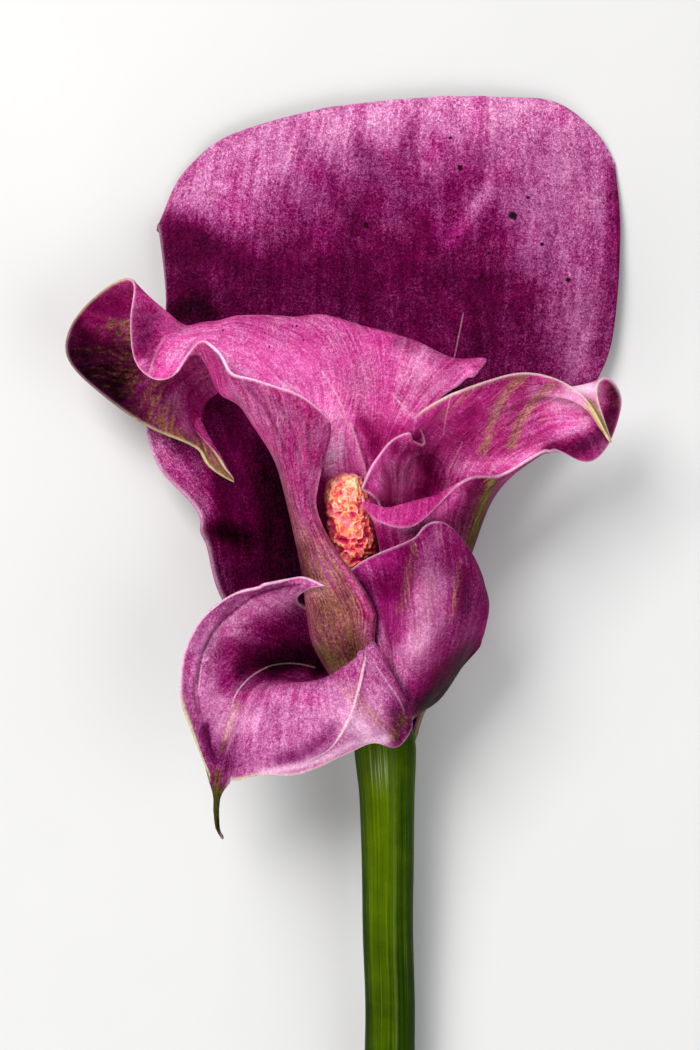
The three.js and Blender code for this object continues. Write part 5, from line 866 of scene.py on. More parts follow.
    # beside them, the others are veins on the front wall
    lines=[(0.60, 0, None, [(319, 367), (328, 381), (338, 398), (344, 413), (348, 430)]), (0.45, 0, None, [(349, 418), (357, 443), (364, 465), (372, 490)]),
           (0.35, 0, None, [(391, 392), (405, 409), (415, 420)]), (0.28, 0, (4, 11.5), [(167, 335), (160, 346), (154, 360), (149, 377)])],
    inks=[(0.6, 0, (4, 11.5), [(163, 335), (156, 346), (150, 360), (146, 372)]), (0.45, 0, None, [(353, 424), (361, 445), (368, 465), (374, 484)]),
          (0.5, 1, (-1, 9), [(246, 384), (262, 402), (276, 425), (288, 455)]), (0.4, 1, (-1, 9), [(268, 394), (284, 412), (296, 440), (302, 475), (308, 510)]),
          (0.4, 1, (-1, 9), [(292, 398), (303, 415), (309, 440), (310, 480)])])
middle.data.materials.append(petal_material(
    "middle_petal", 2.0, ROSE, 0.45, 0.18, streak=0.36, fine=0.32, patch=0.28, grain=0.46, veins=0.24, line_mm=0.26,
    specks=[(*mm_at(x, y, 21), r) for x, y, r in ((223, 330, .26), (292, 324, .22), (296, 324, .24), (303, 338, .22), (269, 346, .26))]))

# ---------------------------------------------------------------- right spathe
# its left side is tucked in: the throat's rim dips between the upper side and a small inner flap
low = [[8.93, -5.2, 13.65], [9.78, 8.91, 14.6], [10.1, 26.6, 15.7], [9.8, 41.0, 19.7]]
RIBS["right_spathe"][22:22] = [
    low + [[11.4, 46.4, 22.6], [13.4, 48.4, 23.6], [14.3, 49.5, 24.4], [14.8, 50.5, 25.0]],
    low + [[11.6, 45.5, 21.9], [13.9, 46.5, 22.2], [15.0, 47.1, 22.7], [15.7, 47.6, 23.2]],
    low + [[10.5, 44.6, 22.9], [12.2, 46.0, 24.8], [12.8, 47.2, 26.0], [13.1, 48.3, 26.6]],
    low + [[9.5, 44.1, 23.6], [10.9, 46.3, 25.9], [11.6, 48.1, 27.5], [12.5, 49.8, 28.4]],
]
RIBS["right_spathe"][26] = RIBS["right_spathe"][26][:5] + [[8.6, 45.4, 26.0], [8.8, 46.8, 27.4], [8.9, 48.1, 28.2]]
right = spathe(
    "right_spathe", (268, 104), (1.15, 0.58),
    strokes=[
        # inner face
        ("tone", (0.58, -0.24), 60, 0.95, 1, None, [(440, 430), (500, 410), (570, 405)]),
        ("tone", (0.35, -0.08), 9, 0.8, 1, None, [(468, 386), (500, 378), (525, 376)]),
        ("tone", (0.49, 0.16), 12, 0.8, 1, None, [(530, 392), (560, 392)]),
        # painted light on the band under the upper margin, where the curled margin shades it
        ("tone", (0.61, 0.09), 9, 0.8, 1, None, [(500, 412), (518, 404), (535, 398), (552, 398)]),
        ("tone", (0.98, -0.05), 8, 0.9, 1, (9, 19), [(556, 400), (574, 404), (588, 412), (598, 424)]),
        ("tone", (0.99, 0.06), 10, 0.9, None, (9, 19), [(578, 388), (592, 388)]),
        ("tone", (0.80, 0.24), 12, 0.8, 1, (9, 19), [(560, 415), (584, 420)]),
        ("tone", (0.47, 0.36), 8, 0.8, 1, None, [(518, 412), (512, 434)]),
        ("tone", (0.58, 0.28), 8, 0.7, 1, None, [(536, 415), (528, 440)]),
        ("tone", (0.94, 0.34), 6, 0.9, 1, None, [(586, 425), (560, 436), (540, 446), (522, 460)]),
        ("tone", (0.92, 0.06), 10, 0.8, 1, None, [(520, 458), (490, 466), (462, 466)]),
        ("tone", (0.66, 0.04), 9, 0.7, 1, None, [(490, 415), (482, 440)]),
        ("tone", (0.49, -0.63), 9, 0.7, 1, None, [(474, 412), (462, 430)]),
        ("tone", (0.61, -0.59), 9, 0.7, 1, None, [(446, 412), (438, 440)]),
        ("tone", (0.70, -0.47), 10, 0.8, 1, None, [(420, 425), (408, 440)]),
        ("tone", (0.57, -0.56), 10, 0.8, 1, None, [(432, 460), (434, 478), (424, 492)]),
        ("tone", (0.79, -0.58), 9, 0.7, 1, None, [(448, 455), (446, 475)]),
        # painted highlight on the pocket's edge
        ("tone", (1.03, -0.52), 8, 0.7, 1, None, [(404, 456), (412, 468)]),
        ("tone", (0.89, -0.44), 12, 0.9, None, (24, 29), [(374, 466), (372, 480), (380, 492)]),
        ("tone", (0.97, -0.51), 9, 0.8, None, (24, 29), [(386, 450), (392, 470), (396, 488)]),
        ("tone", (0.63, -0.08), 7, 0.8, None, (24, 29), [(384, 446), (398, 438)]),
        ("tone", (0.49, -0.06), 6, 0.7, None, (24, 29), [(362, 480), (363, 490)]),
        # the pocket: painted shade inside it and along its top, painted light on the shaded flap to its left, and a
        # painted highlight on its left edge
        ("tone", (0.40, -0.45), 9, 0.9, None, (20, 29), [(397, 448), (410, 452), (421, 462)]),
        ("tone", (0.34, -0.60), 8, 0.85, None, None, [(428, 466), (434, 480), (424, 492)]),
        ("tone", (1.05, -0.50), 6, 0.9, None, None, [(398, 498), (401, 484), (405, 468)]),
        ("tone", (0.95, -0.52), 5, 0.85, None, None, [(409, 458), (412, 472), (410, 484)]),
        ("tan", 0.78, 7.0, 0.92, 1, None, [(522, 377), (506, 392), (496, 410), (489, 434), (483, 450)]),
        ("tan", 0.74, 6.5, 0.92, 1, None, [(551, 384), (534, 400), (521, 420), (511, 444)]),
        ("tan", 0.50, 5.0, 0.8, 1, None, [(570, 386), (554, 400), (541, 422)]),
        ("tan", 0.40, 4.0, 0.8, 1, None, [(534, 384), (517, 402), (504, 425), (497, 450)]),
        ("tan", 0.45, 7, 0.8, 1, None, [(480, 388), (452, 405), (438, 418)]),
        # lip, and the layer under it, darkened by painted shade under the lip
        ("tone", (0.67, -0.15), 5, 0.95, None, (-1, 7), [(380, 503), (400, 503), (425, 494), (450, 482), (476, 474)]),
        ("tone", (0.38, -0.02), 9, 0.9, 0, (-1, 7), [(392, 514), (412, 508), (430, 500)]),
        ("tone", (0.00, -0.00), 9, 0.9, 0, (-1, 7), [(410, 518), (428, 508), (444, 494)]),
        ("tone", (1.02, -0.07), 5, 0.9, 0, (-1, 7), [(364, 498), (372, 512), (385, 522), (405, 527)]),
        ("tone", (1.03, -0.32), 9, 0.9, 0, None, [(400, 534), (424, 524), (444, 508), (462, 486)]),
        ("tone", (0.43, -0.41), 12, 0.8, 0, (-1, 5), [(380, 536), (392, 540)]),
        # outer face: dark tube with its green midrib
        ("tone", (0.24, 0.18), 26, 0.9, 0, (4, 14), [(480, 495), (470, 540)]),
        ("tone", (0.16, -0.27), 9, 0.8, 0, (4, 14), [(484, 530), (478, 548)]),
        ("tan", 0.75, 7, 0.8, 0, (4, 14), [(490, 480), (479, 505), (470, 532), (462, 552)]),
        ("green", 0.80, 2.2, 1.0, 0, (4, 14), [(492, 480), (482, 505), (474, 530), (466, 552)]),
        # the rolled end
        ("tone", (0.26, -0.08), 11, 0.95, 1, (8.4, 12.6), [(552, 449), (572, 449), (592, 440), (606, 428)]),
        ("tone", (0.47, -0.01), 14, 0.9, 0, (8, 14), [(580, 445), (600, 428), (588, 455)]),
        # painted shade inside the roll
        ("tone", (0.13, -0.17), 9, 0.9, None, (10.5, 13.6), [(612, 388), (614, 402), (606, 418)]),
        ("tone", (0.72, 0.04), 6, 0.8, None, (10.5, 17), [(601, 385), (599, 400), (600, 412)]),
        ("tan", 0.6, 8, 0.8, None, (10.5, 13.6), [(610, 388), (615, 402)]),
        ("pale", 0.80, 9, 0.9, None, (9, 20), [(574, 386), (590, 389)]),
        ("pale", 0.35, 8, 0.9, 1, None, [(566, 398), (582, 402)]),
        ("green", 0.8, 5, 1.0, None, (13.6, 16.4), [(590, 405), (600, 420), (612, 443)]),
    ],
    creases=[
        (0.30, 4, None, (13, 24), [(505, 385), (492, 420), (478, 458)]),
        (-0.30, 4, None, (13, 24), [(520, 385), (506, 420), (488, 456)]),
        (0.25, 4, None, (13, 24), [(545, 390), (530, 420), (508, 448)]),
        (0.35, 5, None, (18, 24), [(452, 395), (436, 425), (425, 455)]),
        (-0.3, 4, None, (18, 24), [(470, 400), (455, 430), (445, 460)]),
        (0.45, 3, None, (5, 12), [(492, 480), (474, 530), (466, 552)]),
        (-0.5, 2.2, None, (24, 29), [(412, 452), (407, 465), (409, 480)]),
        (0.45, 2.6, None, (8.5, 12.5), [(548, 449), (570, 437), (590, 425), (600, 416)]),
    ],
    margins=[(-1, 7, 0.4, 0.35, 0.0), (7, 10.5, 0.5, 0.70, 0.0), (10.5, 14.2, 0.55, 0.85, 0.25), (14.2, 20.5, 0.80, 0.78, 0.60), (20.5, 25.0, 0.35, 0.34, 0.0), (25.0, 29, 0.4, 0.42, 0.0)],
    base={"tone": (0.45, 0.60), "veil": (-0.17, -0.29), "tan": (0.18, 0.04), "outer": 0, "foot": 12.0},
    wave=(0.22, 10.0, 0.08, 0.035, 0.18), seed=37,
    # the third pale line paints a highlight beside the pocket, and the first five inks paint shade along its folded rim
    lines=[(0.28, 1, None, [(452, 390), (446, 415), (443, 436)]), (0.40, 1, None, [(464, 438), (456, 455), (448, 472)]),
           (0.30, None, None, [(441, 458), (447.3, 466), (448, 478), (445, 490)])],
    inks=[(1.0, None, None, [(403, 482), (405, 468), (413, 458), (427, 454), (439, 460), (445, 474), (442, 489), (434, 499)]),
          (1.0, None, None, [(405, 484), (407, 470), (414.5, 460), (427, 456), (438, 462), (443.3, 475), (440.5, 488), (433, 497)]),
          (0.9, None, None, [(406.5, 485), (409, 472), (416, 462), (427, 458), (436.8, 463.5), (441.8, 475.5), (439, 487)]),
          (0.9, None, None, [(420, 470), (414, 478), (409, 490)]), (0.8, None, None, [(418, 474), (412, 483), (408.5, 491)]), (0.3, 1, None, [(516, 388), (502, 408), (494, 432)]), (0.25, 1, None, [(540, 392), (524, 412), (514, 436)])])
right.data.materials.append(petal_material("right_petal", 3.0, ROSE, 0.20, 0.24, streak=0.42, fine=0.40, patch=0.28, grain=0.44, veins=0.22))

# ---------------------------------------------------------------- lower right spathe
lower = spathe(
    "lower_right_spathe", (150, 96), (1.1, 0.60),
    strokes=[
        # painted light in the middle and lower left of the cup and painted shade at its right and lower right, over its
        # own magenta
        ("tone", (0.41, -0.11), 50, 0.95, 0, None, [(390, 580), (440, 560)]),
        ("tone", (0.60, -0.75), 10, 0.8, 0, None, [(362, 568), (385, 560), (396, 556)]),
        ("tone", (0.29, -0.53), 11, 0.8, 0, None, [(406, 552), (404, 585)]),
        ("tone", (0.32, -0.71), 12, 0.7, 0, None, [(380, 582), (392, 590)]),
        ("tone", (0.55, -0.93), 12, 0.7, 0, None, [(388, 608), (396, 625)]),
        ("tone", (0.48, 0.10), 9, 0.8, 0, None, [(434, 535), (430, 570)]),
        ("tone", (0.67, 0.07), 13, 0.9, 0, None, [(422, 592), (420, 625)]),
        ("tone", (0.66, 0.17), 11, 0.8, 0, None, [(446, 588), (442, 622)]),
        ("tone", (0.73, 0.12), 13, 0.9, 0, None, [(412, 640), (405, 655), (424, 640)]),
        ("tone", (1.03, -0.89), 7, 0.8, 0, None, [(378, 628), (384, 646), (392, 660), (396, 672)]),
        ("tone", (0.71, -0.04), 9, 0.8, 0, None, [(404, 672), (402, 682)]),
        ("tone", (0.25, 0.19), 10, 0.9, 0, None, [(464, 575), (464, 610)]),
        ("tone", (0.36, -0.04), 9, 0.8, 0, None, [(478, 580), (482, 615)]),
        ("tone", (0.39, 0.04), 13, 0.9, 0, None, [(462, 625), (454, 640)]),
        ("tone", (0.24, -0.48), 12, 0.9, 0, None, [(474, 645), (450, 662), (434, 678)]),
        ("tone", (0.42, 0.21), 10, 0.7, 0, None, [(432, 658), (420, 672)]),
        ("tone", (0.00, -0.19), 14, 0.95, 0, None, [(466, 668), (446, 688), (425, 704)]),
        ("tone", (0.46, -0.10), 6, 0.8, 0, None, [(405, 690), (407, 702)]),
        ("tan", 0.60, 6, 0.85, 0, None, [(413, 545), (409, 575), (403, 610)]),
        ("tan", 0.34, 16, 0.9, 0, None, [(437, 535), (428, 590), (420, 640)]),
        ("tan", 0.55, 6, 0.8, 0, None, [(462, 560), (456, 590), (450, 620)]),
        ("pale", 0.18, 14, 0.6, 0, None, [(430, 580), (424, 620), (418, 650)]),
    ],
    creases=[
        (0.25, 4, None, None, [(412, 545), (408, 590), (402, 640)]),
        (-0.25, 4, None, None, [(455, 545), (452, 600), (440, 660)]),
        (-0.2, 3, None, None, [(385, 560), (384, 600), (388, 640)]),
    ],
    margins=[(-1, 6, 0.40, 0.48, 0.0), (6, 13, 0.34, 0.36, 0.0)],
    base={"tone": (0.47, 0.52), "veil": (-0.40, -0.30), "tan": (0.06, 0.0), "outer": 0, "foot": 3.0},
    wave=(0.20, 9.0, 0.12, 0.04, 0.14), seed=51)
lower.data.materials.append(petal_material("lower_petal", 4.0, PLUM, 0.22, 0.90, streak=0.34, fine=0.28, patch=0.24, grain=0.50, veins=0.12))

# ---------------------------------------------------------------- front spathe
def front_tip(p, q, rib):
    """Draws the tip out into a thin hook."""
    y = q[..., 1]
    w = smooth01(y, 778, 800)
    now = np.interp(y, (780, 800, 820, 842), (220.0, 222.0, 223.5, 224.5))
    hook = np.interp(y, (780, 795, 810, 828, 842), (220.0, 217.5, 216.5, 218.0, 225.0))
    p = p.copy()
    p[..., 0] += (hook + (q[..., 0] - now) * (1 - 0.72 * w) - q[..., 0]) * 0.2 * smooth01(y, 776, 786)
    return p


front = spathe(
    "front_spathe", (272, 110), (1.1, 0.62),
    strokes=[
        # the lower lip
        ("tone", (0.67, 0.02), 40, 0.95, 0, (2, 13), [(240, 725), (290, 718), (330, 705)]),
        ("tone", (0.51, -0.47), 7, 0.8, 0, (2, 13), [(240, 682), (275, 682), (310, 682)]),
        ("tone", (0.71, -0.70), 8, 0.7, 0, (2, 13), [(240, 698), (280, 698), (320, 698)]),
        ("tone", (0.79, -0.03), 8, 0.7, 0, (5, 13), [(236, 716), (255, 722)]),
        ("tone", (0.56, 0.11), 10, 0.6, 0, (5, 13), [(275, 755), (285, 738)]),
        ("tone", (0.34, 0.18), 8, 0.9, 0, (3, 9), [(340, 728), (325, 742), (303, 754), (280, 760)]),
        ("tone", (0.65, 0.08), 6, 0.8, 0, (3, 10), [(330, 750), (300, 768), (262, 772)]),
        ("tone", (0.69, -0.06), 6, 0.8, 0, (3, 7), [(345, 728), (336, 742), (326, 752)]),
        ("tone", (0.46, 0.10), 9, 0.7, 0, (6, 13), [(238, 744), (240, 760)]),
        ("tone", (0.16, 0.21), 7, 0.9, 0, (8, 15), [(204, 728), (208, 744), (214, 758)]),
        ("tone", (0.23, 0.05), 9, 0.8, 0, (8, 14), [(224, 748), (228, 768)]),
        ("tone", (0.20, 0.14), 10, 0.8, None, (8, 13), [(216, 778), (222, 790)]),
        ("tone", (0.00, -0.41), 12, 0.9, None, (9, 13), [(217, 802), (216, 815), (222, 836)]),
        # painted light on the rim, which faces away from the lamps
        ("tone", (1.03, -0.69), 9, 0.8, 0, (12, 22), [(224, 662), (227, 640), (237, 621), (256, 607), (280, 600)]),
        ("pale", 0.26, 1.6, 0.7, 0, None, [(235, 714), (230, 722), (229, 731), (223, 741)]),
        ("pale", 0.24, 1.4, 0.7, 0, None, [(242, 723), (239, 731), (232, 739), (228, 751)]),
        ("pale", 0.20, 1.8, 0.7, 0, None, [(224, 715), (221, 724), (216, 731)]),
        # the rim at the left, with painted light where it faces away from the lamps
        ("tone", (0.69, -0.02), 16, 0.9, 0, (11, 20), [(212, 700), (208, 660), (216, 640)]),
        ("tone", (0.70, 0.09), 5, 0.8, 0, (12, 21), [(201, 655), (196, 675), (196, 690)]),
        ("tone", (0.50, 0.15), 7, 0.8, 0, (12, 22), [(198, 640), (212, 614), (236, 598)]),
        ("tone", (0.49, 0.06), 6, 0.8, 0, (12, 20), [(185, 680), (186, 700)]),
        ("tone", (1.03, -0.89), 11, 0.9, 0, (13, 22), [(224, 632), (236, 618), (255, 604), (285, 596)]),
        ("tone", (0.45, -0.37), 5, 0.8, 0, (15, 23), [(252, 592), (270, 587), (296, 584)]),
        ("tone", (0.76, -0.64), 6, 0.9, 0, (18, 23), [(296, 580), (320, 584)]),
        # cavity, darkened by painted shade over its purple
        ("tone", (0.12, -0.85), 26, 0.95, 0, (10, 23), [(245, 665), (270, 655), (300, 650)]),
        ("tone", (0.49, -0.89), 8, 0.8, 0, (10, 20), [(226, 688), (224, 662), (230, 648)]),
        ("tone", (0.57, -0.88), 9, 0.8, 0, (12, 22), [(250, 630), (275, 618)]),
        ("tone", (0.27, -1.20), 11, 0.8, 0, (12, 23), [(270, 636), (298, 622)]),
        ("tone", (0.00, -0.19), 13, 0.97, 0, None, [(272, 668), (295, 660), (318, 656), (318, 668)]),
        ("tone", (0.35, 0.28), 5, 0.7, 0, (9, 16), [(236, 690), (250, 683)]),
        # collar at the right
        ("tone", (0.62, -0.16), 12, 0.8, 0, (-1, 6), [(368, 655), (362, 675)]),
        ("tone", (0.77, 0.02), 10, 0.9, 0, (-1, 6), [(348, 700), (346, 718)]),
        ("tone", (0.69, 0.04), 12, 0.8, 0, (-1, 6), [(375, 690), (378, 712)]),
        ("tone", (0.83, 0.11), 9, 0.8, 0, (-1, 6), [(358, 722), (366, 732)]),
        ("tone", (0.88, 0.12), 6, 0.8, 0, (-1, 6), [(374, 742), (384, 738)]),
        ("tone", (0.21, 0.02), 9, 0.9, 0, (-1, 5), [(396, 712), (398, 738)]),
        ("tone", (0.18, -0.10), 7, 0.9, 0, (-1, 4), [(406, 708), (410, 728)]),
        ("tan", 0.66, 8, 0.8, 0, (8, 14), [(238, 706), (230, 726), (223, 748)]),
        ("tan", 0.52, 15, 0.9, 0, (-1, 6), [(350, 690), (362, 708), (384, 722)]),
        ("tan", 0.70, 6, 0.9, 0, (-1, 5), [(403, 716), (394, 736)]),
        ("pale", 0.50, 3.5, 0.9, 0, (1, 9), [(262, 773), (300, 766), (330, 755), (352, 743), (386, 738)]),
        ("green", 0.75, 5, 1.0, None, (8.5, 14), [(217, 792), (217, 815), (222, 838)]),
        ("tan", 0.80, 9, 0.9, None, (9, 13), [(217, 775), (217, 800), (222, 838)]),
        ("pale", 0.35, 12, 0.8, 0, (1, 6), [(352, 722), (372, 738)]),
        ("tone", (0.66, -0.00), 30, 0.9, 1, None, [(270, 745), (320, 750)]),
        ("tone", (0.72, 0.00), 14, 0.9, 1, (5, 11), [(250, 770), (300, 768), (340, 756)]),
    ],
    creases=[
        (0.55, 2.6, None, (2, 9), [(362, 655), (362, 670), (358, 690), (352, 715), (345, 725), (335, 737), (320, 750), (308, 759)]),
        (-0.45, 3.2, None, (12, 21), [(199, 712), (196, 690), (203, 655), (216, 630), (236, 604), (262, 591), (290, 587)]),
        (0.35, 2.2, None, (12, 21), [(193, 712), (190, 690), (197, 652), (211, 625), (232, 599), (260, 586)]),
        (0.28, 2.4, None, (7, 13), [(203, 700), (203, 720), (206, 745)]),
        (-0.25, 2.2, None, (7, 13), [(208, 705), (209, 728), (212, 750)]),
        (0.2, 5, None, (3, 10), [(250, 700), (245, 730), (232, 765)]),
        (-0.2, 6, None, (3, 10), [(290, 695), (280, 730), (262, 765)]),
    ],
    margins=[(-1, 4.6, 0.4, 0.55, 0.0), (4.6, 8.2, 0.7, 0.75, 0.35), (8.2, 10.4, 0.6, 0.75, 0.85), (10.4, 11.6, 0.9, 0.55, 0.9),
             (11.6, 14.2, 0.6, 0.66, 0.9), (14.2, 19.5, 0.5, 0.75, 0.0), (19.5, 23, 0.5, 0.6, 0.0)],
    base={"tone": (0.53, 0.00), "veil": (-0.30, -0.01), "tan": (0.0, 0.08), "outer": 1, "foot": 7.0},
    wave=(0.20, 9.0, 0.10, 0.035, 0.22), seed=67, shape=front_tip, calm=([(217, 782), (218, 815), (224, 842)], 22),
    # the first ink paints shade in the crease inside the rim, and the third pale line a highlight beside it
    inks=[(0.75, 0, (12, 23), [(302, 583), (277, 587), (252, 596), (232, 611), (214, 628), (204, 646), (199, 664), (197, 684), (197, 700), (199, 716)]),
          (0.5, 0, (8, 15), [(197, 690), (201, 716), (207, 740), (216, 760)]),
          (0.35, 0, (-1, 6), [(372, 690), (377, 705), (372, 722)]), (0.5, 0, (-1, 6), [(388, 686), (393, 702), (388, 718)]),
          (0.5, 0, (-1, 5), [(398, 692), (403, 708)]), (0.3, 0, (-1, 6), [(382, 700), (385, 715), (378, 730)]), (0.3, 0, (-1, 6), [(350, 712), (362, 720), (372, 716)])],
    lines=[(0.32, 0, (-1, 5), [(373, 662), (386, 681), (397, 697), (404, 713)]),
           (1.0, 0, (1.5, 9), [(365, 652), (362, 672), (358, 690), (353, 708), (346, 724), (331, 746), (318, 755), (307, 761)]),
           (0.4, 0, (12, 21), [(255, 597), (235, 613), (218, 629), (207, 647), (201, 668), (199, 690)]),
           (0.70, 0, (9, 23), [(231, 711), (236, 695), (247, 681), (258, 673), (268, 668)]), (0.22, 0, (9, 23), [(255, 675), (268, 668), (282, 665), (298, 665), (316, 669)])])
front.data.materials.append(petal_material("front_petal", 5.0, PLUM, 0.85, 0.95, streak=0.26, fine=0.24, patch=0.32, grain=0.60, veins=0.12))


# ---------------------------------------------------------------- rods
def rod_frame(path, rows):
    """Points, directions and radii at even distances along a path of (x, y, z, radius)."""
    a = np.array(path)
    g = catmull(a, np.linspace(0, len(a) - 1, (len(a) - 1) * 12 + 1))
    s = np.r_[0, np.cumsum(np.linalg.norm(np.diff(g[:, :3], axis=0), axis=1))]
    at = rows(s[-1])
    g = catmull(g, np.interp(at, s, np.arange(len(s))))
    d = unit(np.gradient(g[:, :3], at, axis=0))
    e1 = unit(np.cross(d, np.array([0.0, 0.0, 1.0])))
    return at, g[:, :3], g[:, 3], e1, np.cross(d, e1)


def closed_rod(name, rings, fields):
    """Object from rings of points (rows, around, 3), with a middle point at each end."""
    rows, m = rings.shape[:2]
    i = np.arange(rows * m).reshape(rows, m)
    j = np.roll(i, -1, axis=1)
    q = np.stack([i[:-1], j[:-1], j[1:], i[1:]], -1).reshape(-1, 4)
    ob = new_object(name, rings.reshape(-1, 3), q)
    bm = bmesh.new()
    bm.from_mesh(ob.data)
    vs = list(bm.verts)
    for r in (0, rows - 1):
        c = bm.verts.new(tuple(rings[r].mean(0) / 1000))
        for k in range(m):
            bm.faces.new((vs[i[r, k]], vs[j[r, k]], c))
    bmesh.ops.recalc_face_normals(bm, faces=bm.faces)
    for f in bm.faces:
        f.smooth = True
    bm.to_mesh(ob.data)
    bm.free()
    for k, val in fields.items():
        tail = val[[0, -1]].mean(1)
        put(ob, k, np.concatenate([val.reshape(-1) if val.ndim == 2 else val.reshape(-1, 3), tail]))
    return ob


# stem, with its ribs, up into the foot of the flower
TOP_FILL = [(5.6, -2.2, 15.6, 0.3), (6.0, -3.4, 15.4, 2.4), (6.5, -5.2, 15.0, 4.3), (7.1, -7.6, 14.6, 5.3), (7.6, -10.2, 14.2, 5.9)]
stem_path = TOP_FILL + [tuple(r) for r in STEM[4:]]
END = 0.45


def stem_rows(total):
    return np.r_[np.linspace(0, total - 1.2, 250), total - 1.2 + np.array([0.3, 0.6, 0.8, 0.92, 1.03, 1.12, 1.17, 1.2])]


sa, sc, sr, e1, e2 = rod_frame(stem_path, stem_rows)
M = 168
w = np.linspace(0, 2 * np.pi, M, endpoint=False)
rng = np.random.default_rng(5)
ridge = np.zeros(M)
pos_w = np.sort((np.arange(30) + rng.uniform(-0.28, 0.28, 30)) * 2 * np.pi / 30)
for c, amp, wid in zip(pos_w, rng.uniform(0.05, 0.17, 30), rng.uniform(0.045, 0.085, 30)):
    dd = np.abs((w - c + np.pi) % (2 * np.pi) - np.pi)
    ridge += amp * np.exp(-((dd / wid) ** 2))
ridge -= ridge.mean()
S, W = np.meshgrid(sa, w, indexing="ij")
fade = smooth01(S, 6, 20)
rad = sr[:, None] + ridge[None, :] * (0.35 + 0.65 * fade) + 0.10 * value_noise(np.stack([np.cos(W) * 1.2, np.sin(W) * 1.2, S / 16], -1), 91)
rad = rad * (1 + 0.018 * np.cos(2 * (W - 0.6)))
left_of_end = sa[-1] - sa
rad = rad * np.where(left_of_end < END, 1 - 0.05 * (1 - left_of_end / END) ** 2, 1.0)[:, None]
rings = sc[:, None, :] + (e1[:, None, :] * np.cos(W)[..., None] + e2[:, None, :] * np.sin(W)[..., None]) * rad[..., None]
# a shallow dished cut end, made of rings that run inwards
cap = []
for f, dip in ((0.90, -0.02), (0.72, 0.10), (0.50, 0.18), (0.28, 0.22), (0.10, 0.24)):
    d = unit(sc[-1] - sc[-2])
    cap.append(sc[-1] - d * dip + (rings[-1] - sc[-1]) * f)
rings = np.concatenate([rings, np.array(cap)])
extra = len(cap)
S2 = np.concatenate([S, np.full((extra, M), sa[-1])])
inner = np.concatenate([np.zeros_like(S), np.repeat(np.array([0.15, 0.5, 1, 1, 1.0])[:, None], M, 1)])
Wx = np.concatenate([W, np.repeat(w[None], extra, 0)])
crd = np.stack([np.cos(Wx) * 5.2, np.sin(Wx) * 5.2, S2], -1)
upper = np.sin(Wx) < 0.35
wash = np.exp(-(((crd[..., 0] - 1.3) / 1.5) ** 2) - ((S2 - 14.5) / 3.2) ** 2) * upper
# painted shade, darkest on the right side and at the left edge, and a darkening toward the cut end
shade = 0.75 * smooth01(-crd[..., 0], -0.6, 3.2) + 0.80 * smooth01(crd[..., 0], 3.2, 5.2) + 0.50 * smooth01(S2, 22, 60)
stem = closed_rod("stem_tissue", rings, {"crd": crd, "cut": inner, "wash": wash, "shade": shade, "seam": np.where(upper, crd[..., 0] + 1.25, 9.0)})


def stem_material():
    m = bpy.data.materials.new("stem_skin")
    k = Nodes(m)
    pos = k.position()
    a, b, s = k.split(k.attr("crd", True))
    cut = k.attr("cut")
    line = k.noise(k.xyz(k.mul(a, 0.85), k.mul(b, 0.85), k.mul(s, 0.012)), 1.0, 4.0, 0.6)
    thin = k.noise(k.xyz(k.mul(a, 3.4), k.mul(b, 3.4), k.mul(s, 0.03)), 1.0, 3.0, 0.6)
    blot = k.noise(pos, 0.16, 3.0, 0.55)
    grain = k.noise(pos, 3.2, 2.0, 0.6)
    t = k.add(0.50, k.centred(line, 0.35), k.centred(thin, 0.50), k.centred(blot, 0.30), k.centred(grain, 0.15), k.mul(k.attr("shade"), -0.26))
    col = k.ramp(t, [(0.0, (0.004, 0.012, 0.0004)), (0.25, (0.018, 0.042, 0.0008)), (0.5, (0.066, 0.112, 0.0008)),
                     (0.75, (0.150, 0.230, 0.002)), (1.0, (0.26, 0.36, 0.02))])
    col = k.mix(k.mul(k.span(thin, 0.60, 0.70), 0.22), col, (0.20, 0.32, 0.03))
    col = k.mix(k.mul(k.span(line, 0.28, 0.40, 1.0, 0.0), 0.25), col, (0.008, 0.028, 0.002))
    seam = k.mul(k.span(k.math("ABSOLUTE", k.add(k.attr("seam"), k.centred(blot, 0.5))), 0.10, 0.50, 1.0, 0.0), 0.30)
    col = k.mix(seam, col, (0.11, 0.15, 0.03))
    col = k.mix(k.mul(k.attr("wash"), k.span(thin, 0.48, 0.62, 0.05, 0.60)), col, (0.46, 0.58, 0.30))
    # the cut end: pale flesh with a ring of dots
    dots = k.voronoi(pos, 0.85)
    dot = k.span(dots.outputs["Distance"], 0.10, 0.24, 1.0, 0.0)
    flesh = k.mix(k.mul(dot, 0.7), k.ramp(grain, [(0.3, (0.50, 0.58, 0.22)), (0.7, (0.70, 0.74, 0.42))]), (0.20, 0.28, 0.06))
    col = k.mix(cut, col, flesh)
    nrm = k.bump(k.add(k.mul(thin, 1.0), k.mul(grain, 0.25), k.mul(line, 0.6)), 0.5, 0.18)
    k.finish(col, k.add(0.44, k.centred(grain, 0.15), k.centred(blot, 0.12)), nrm, spec=0.02, tint=(0.8, 1.0, 0.35), sss=0.05, sss_mm=0.6)
    return m


stem.data.materials.append(stem_material())

# ---------------------------------------------------------------- spadix
AROUND, ROWS = 216, 250
spadix_path = [tuple(r) for r in SPADIX]
lead = np.array(spadix_path[0][:3]) + unit(np.array(spadix_path[0][:3]) - np.array(spadix_path[1][:3])) * 0.55
spadix_path = [(*lead, 0.12)] + spadix_path


def spadix_rows(total):
    return np.r_[np.linspace(0, 1, 26)[:-1] ** 1.5 * 3.0, np.linspace(3.0, total, ROWS - 25)]


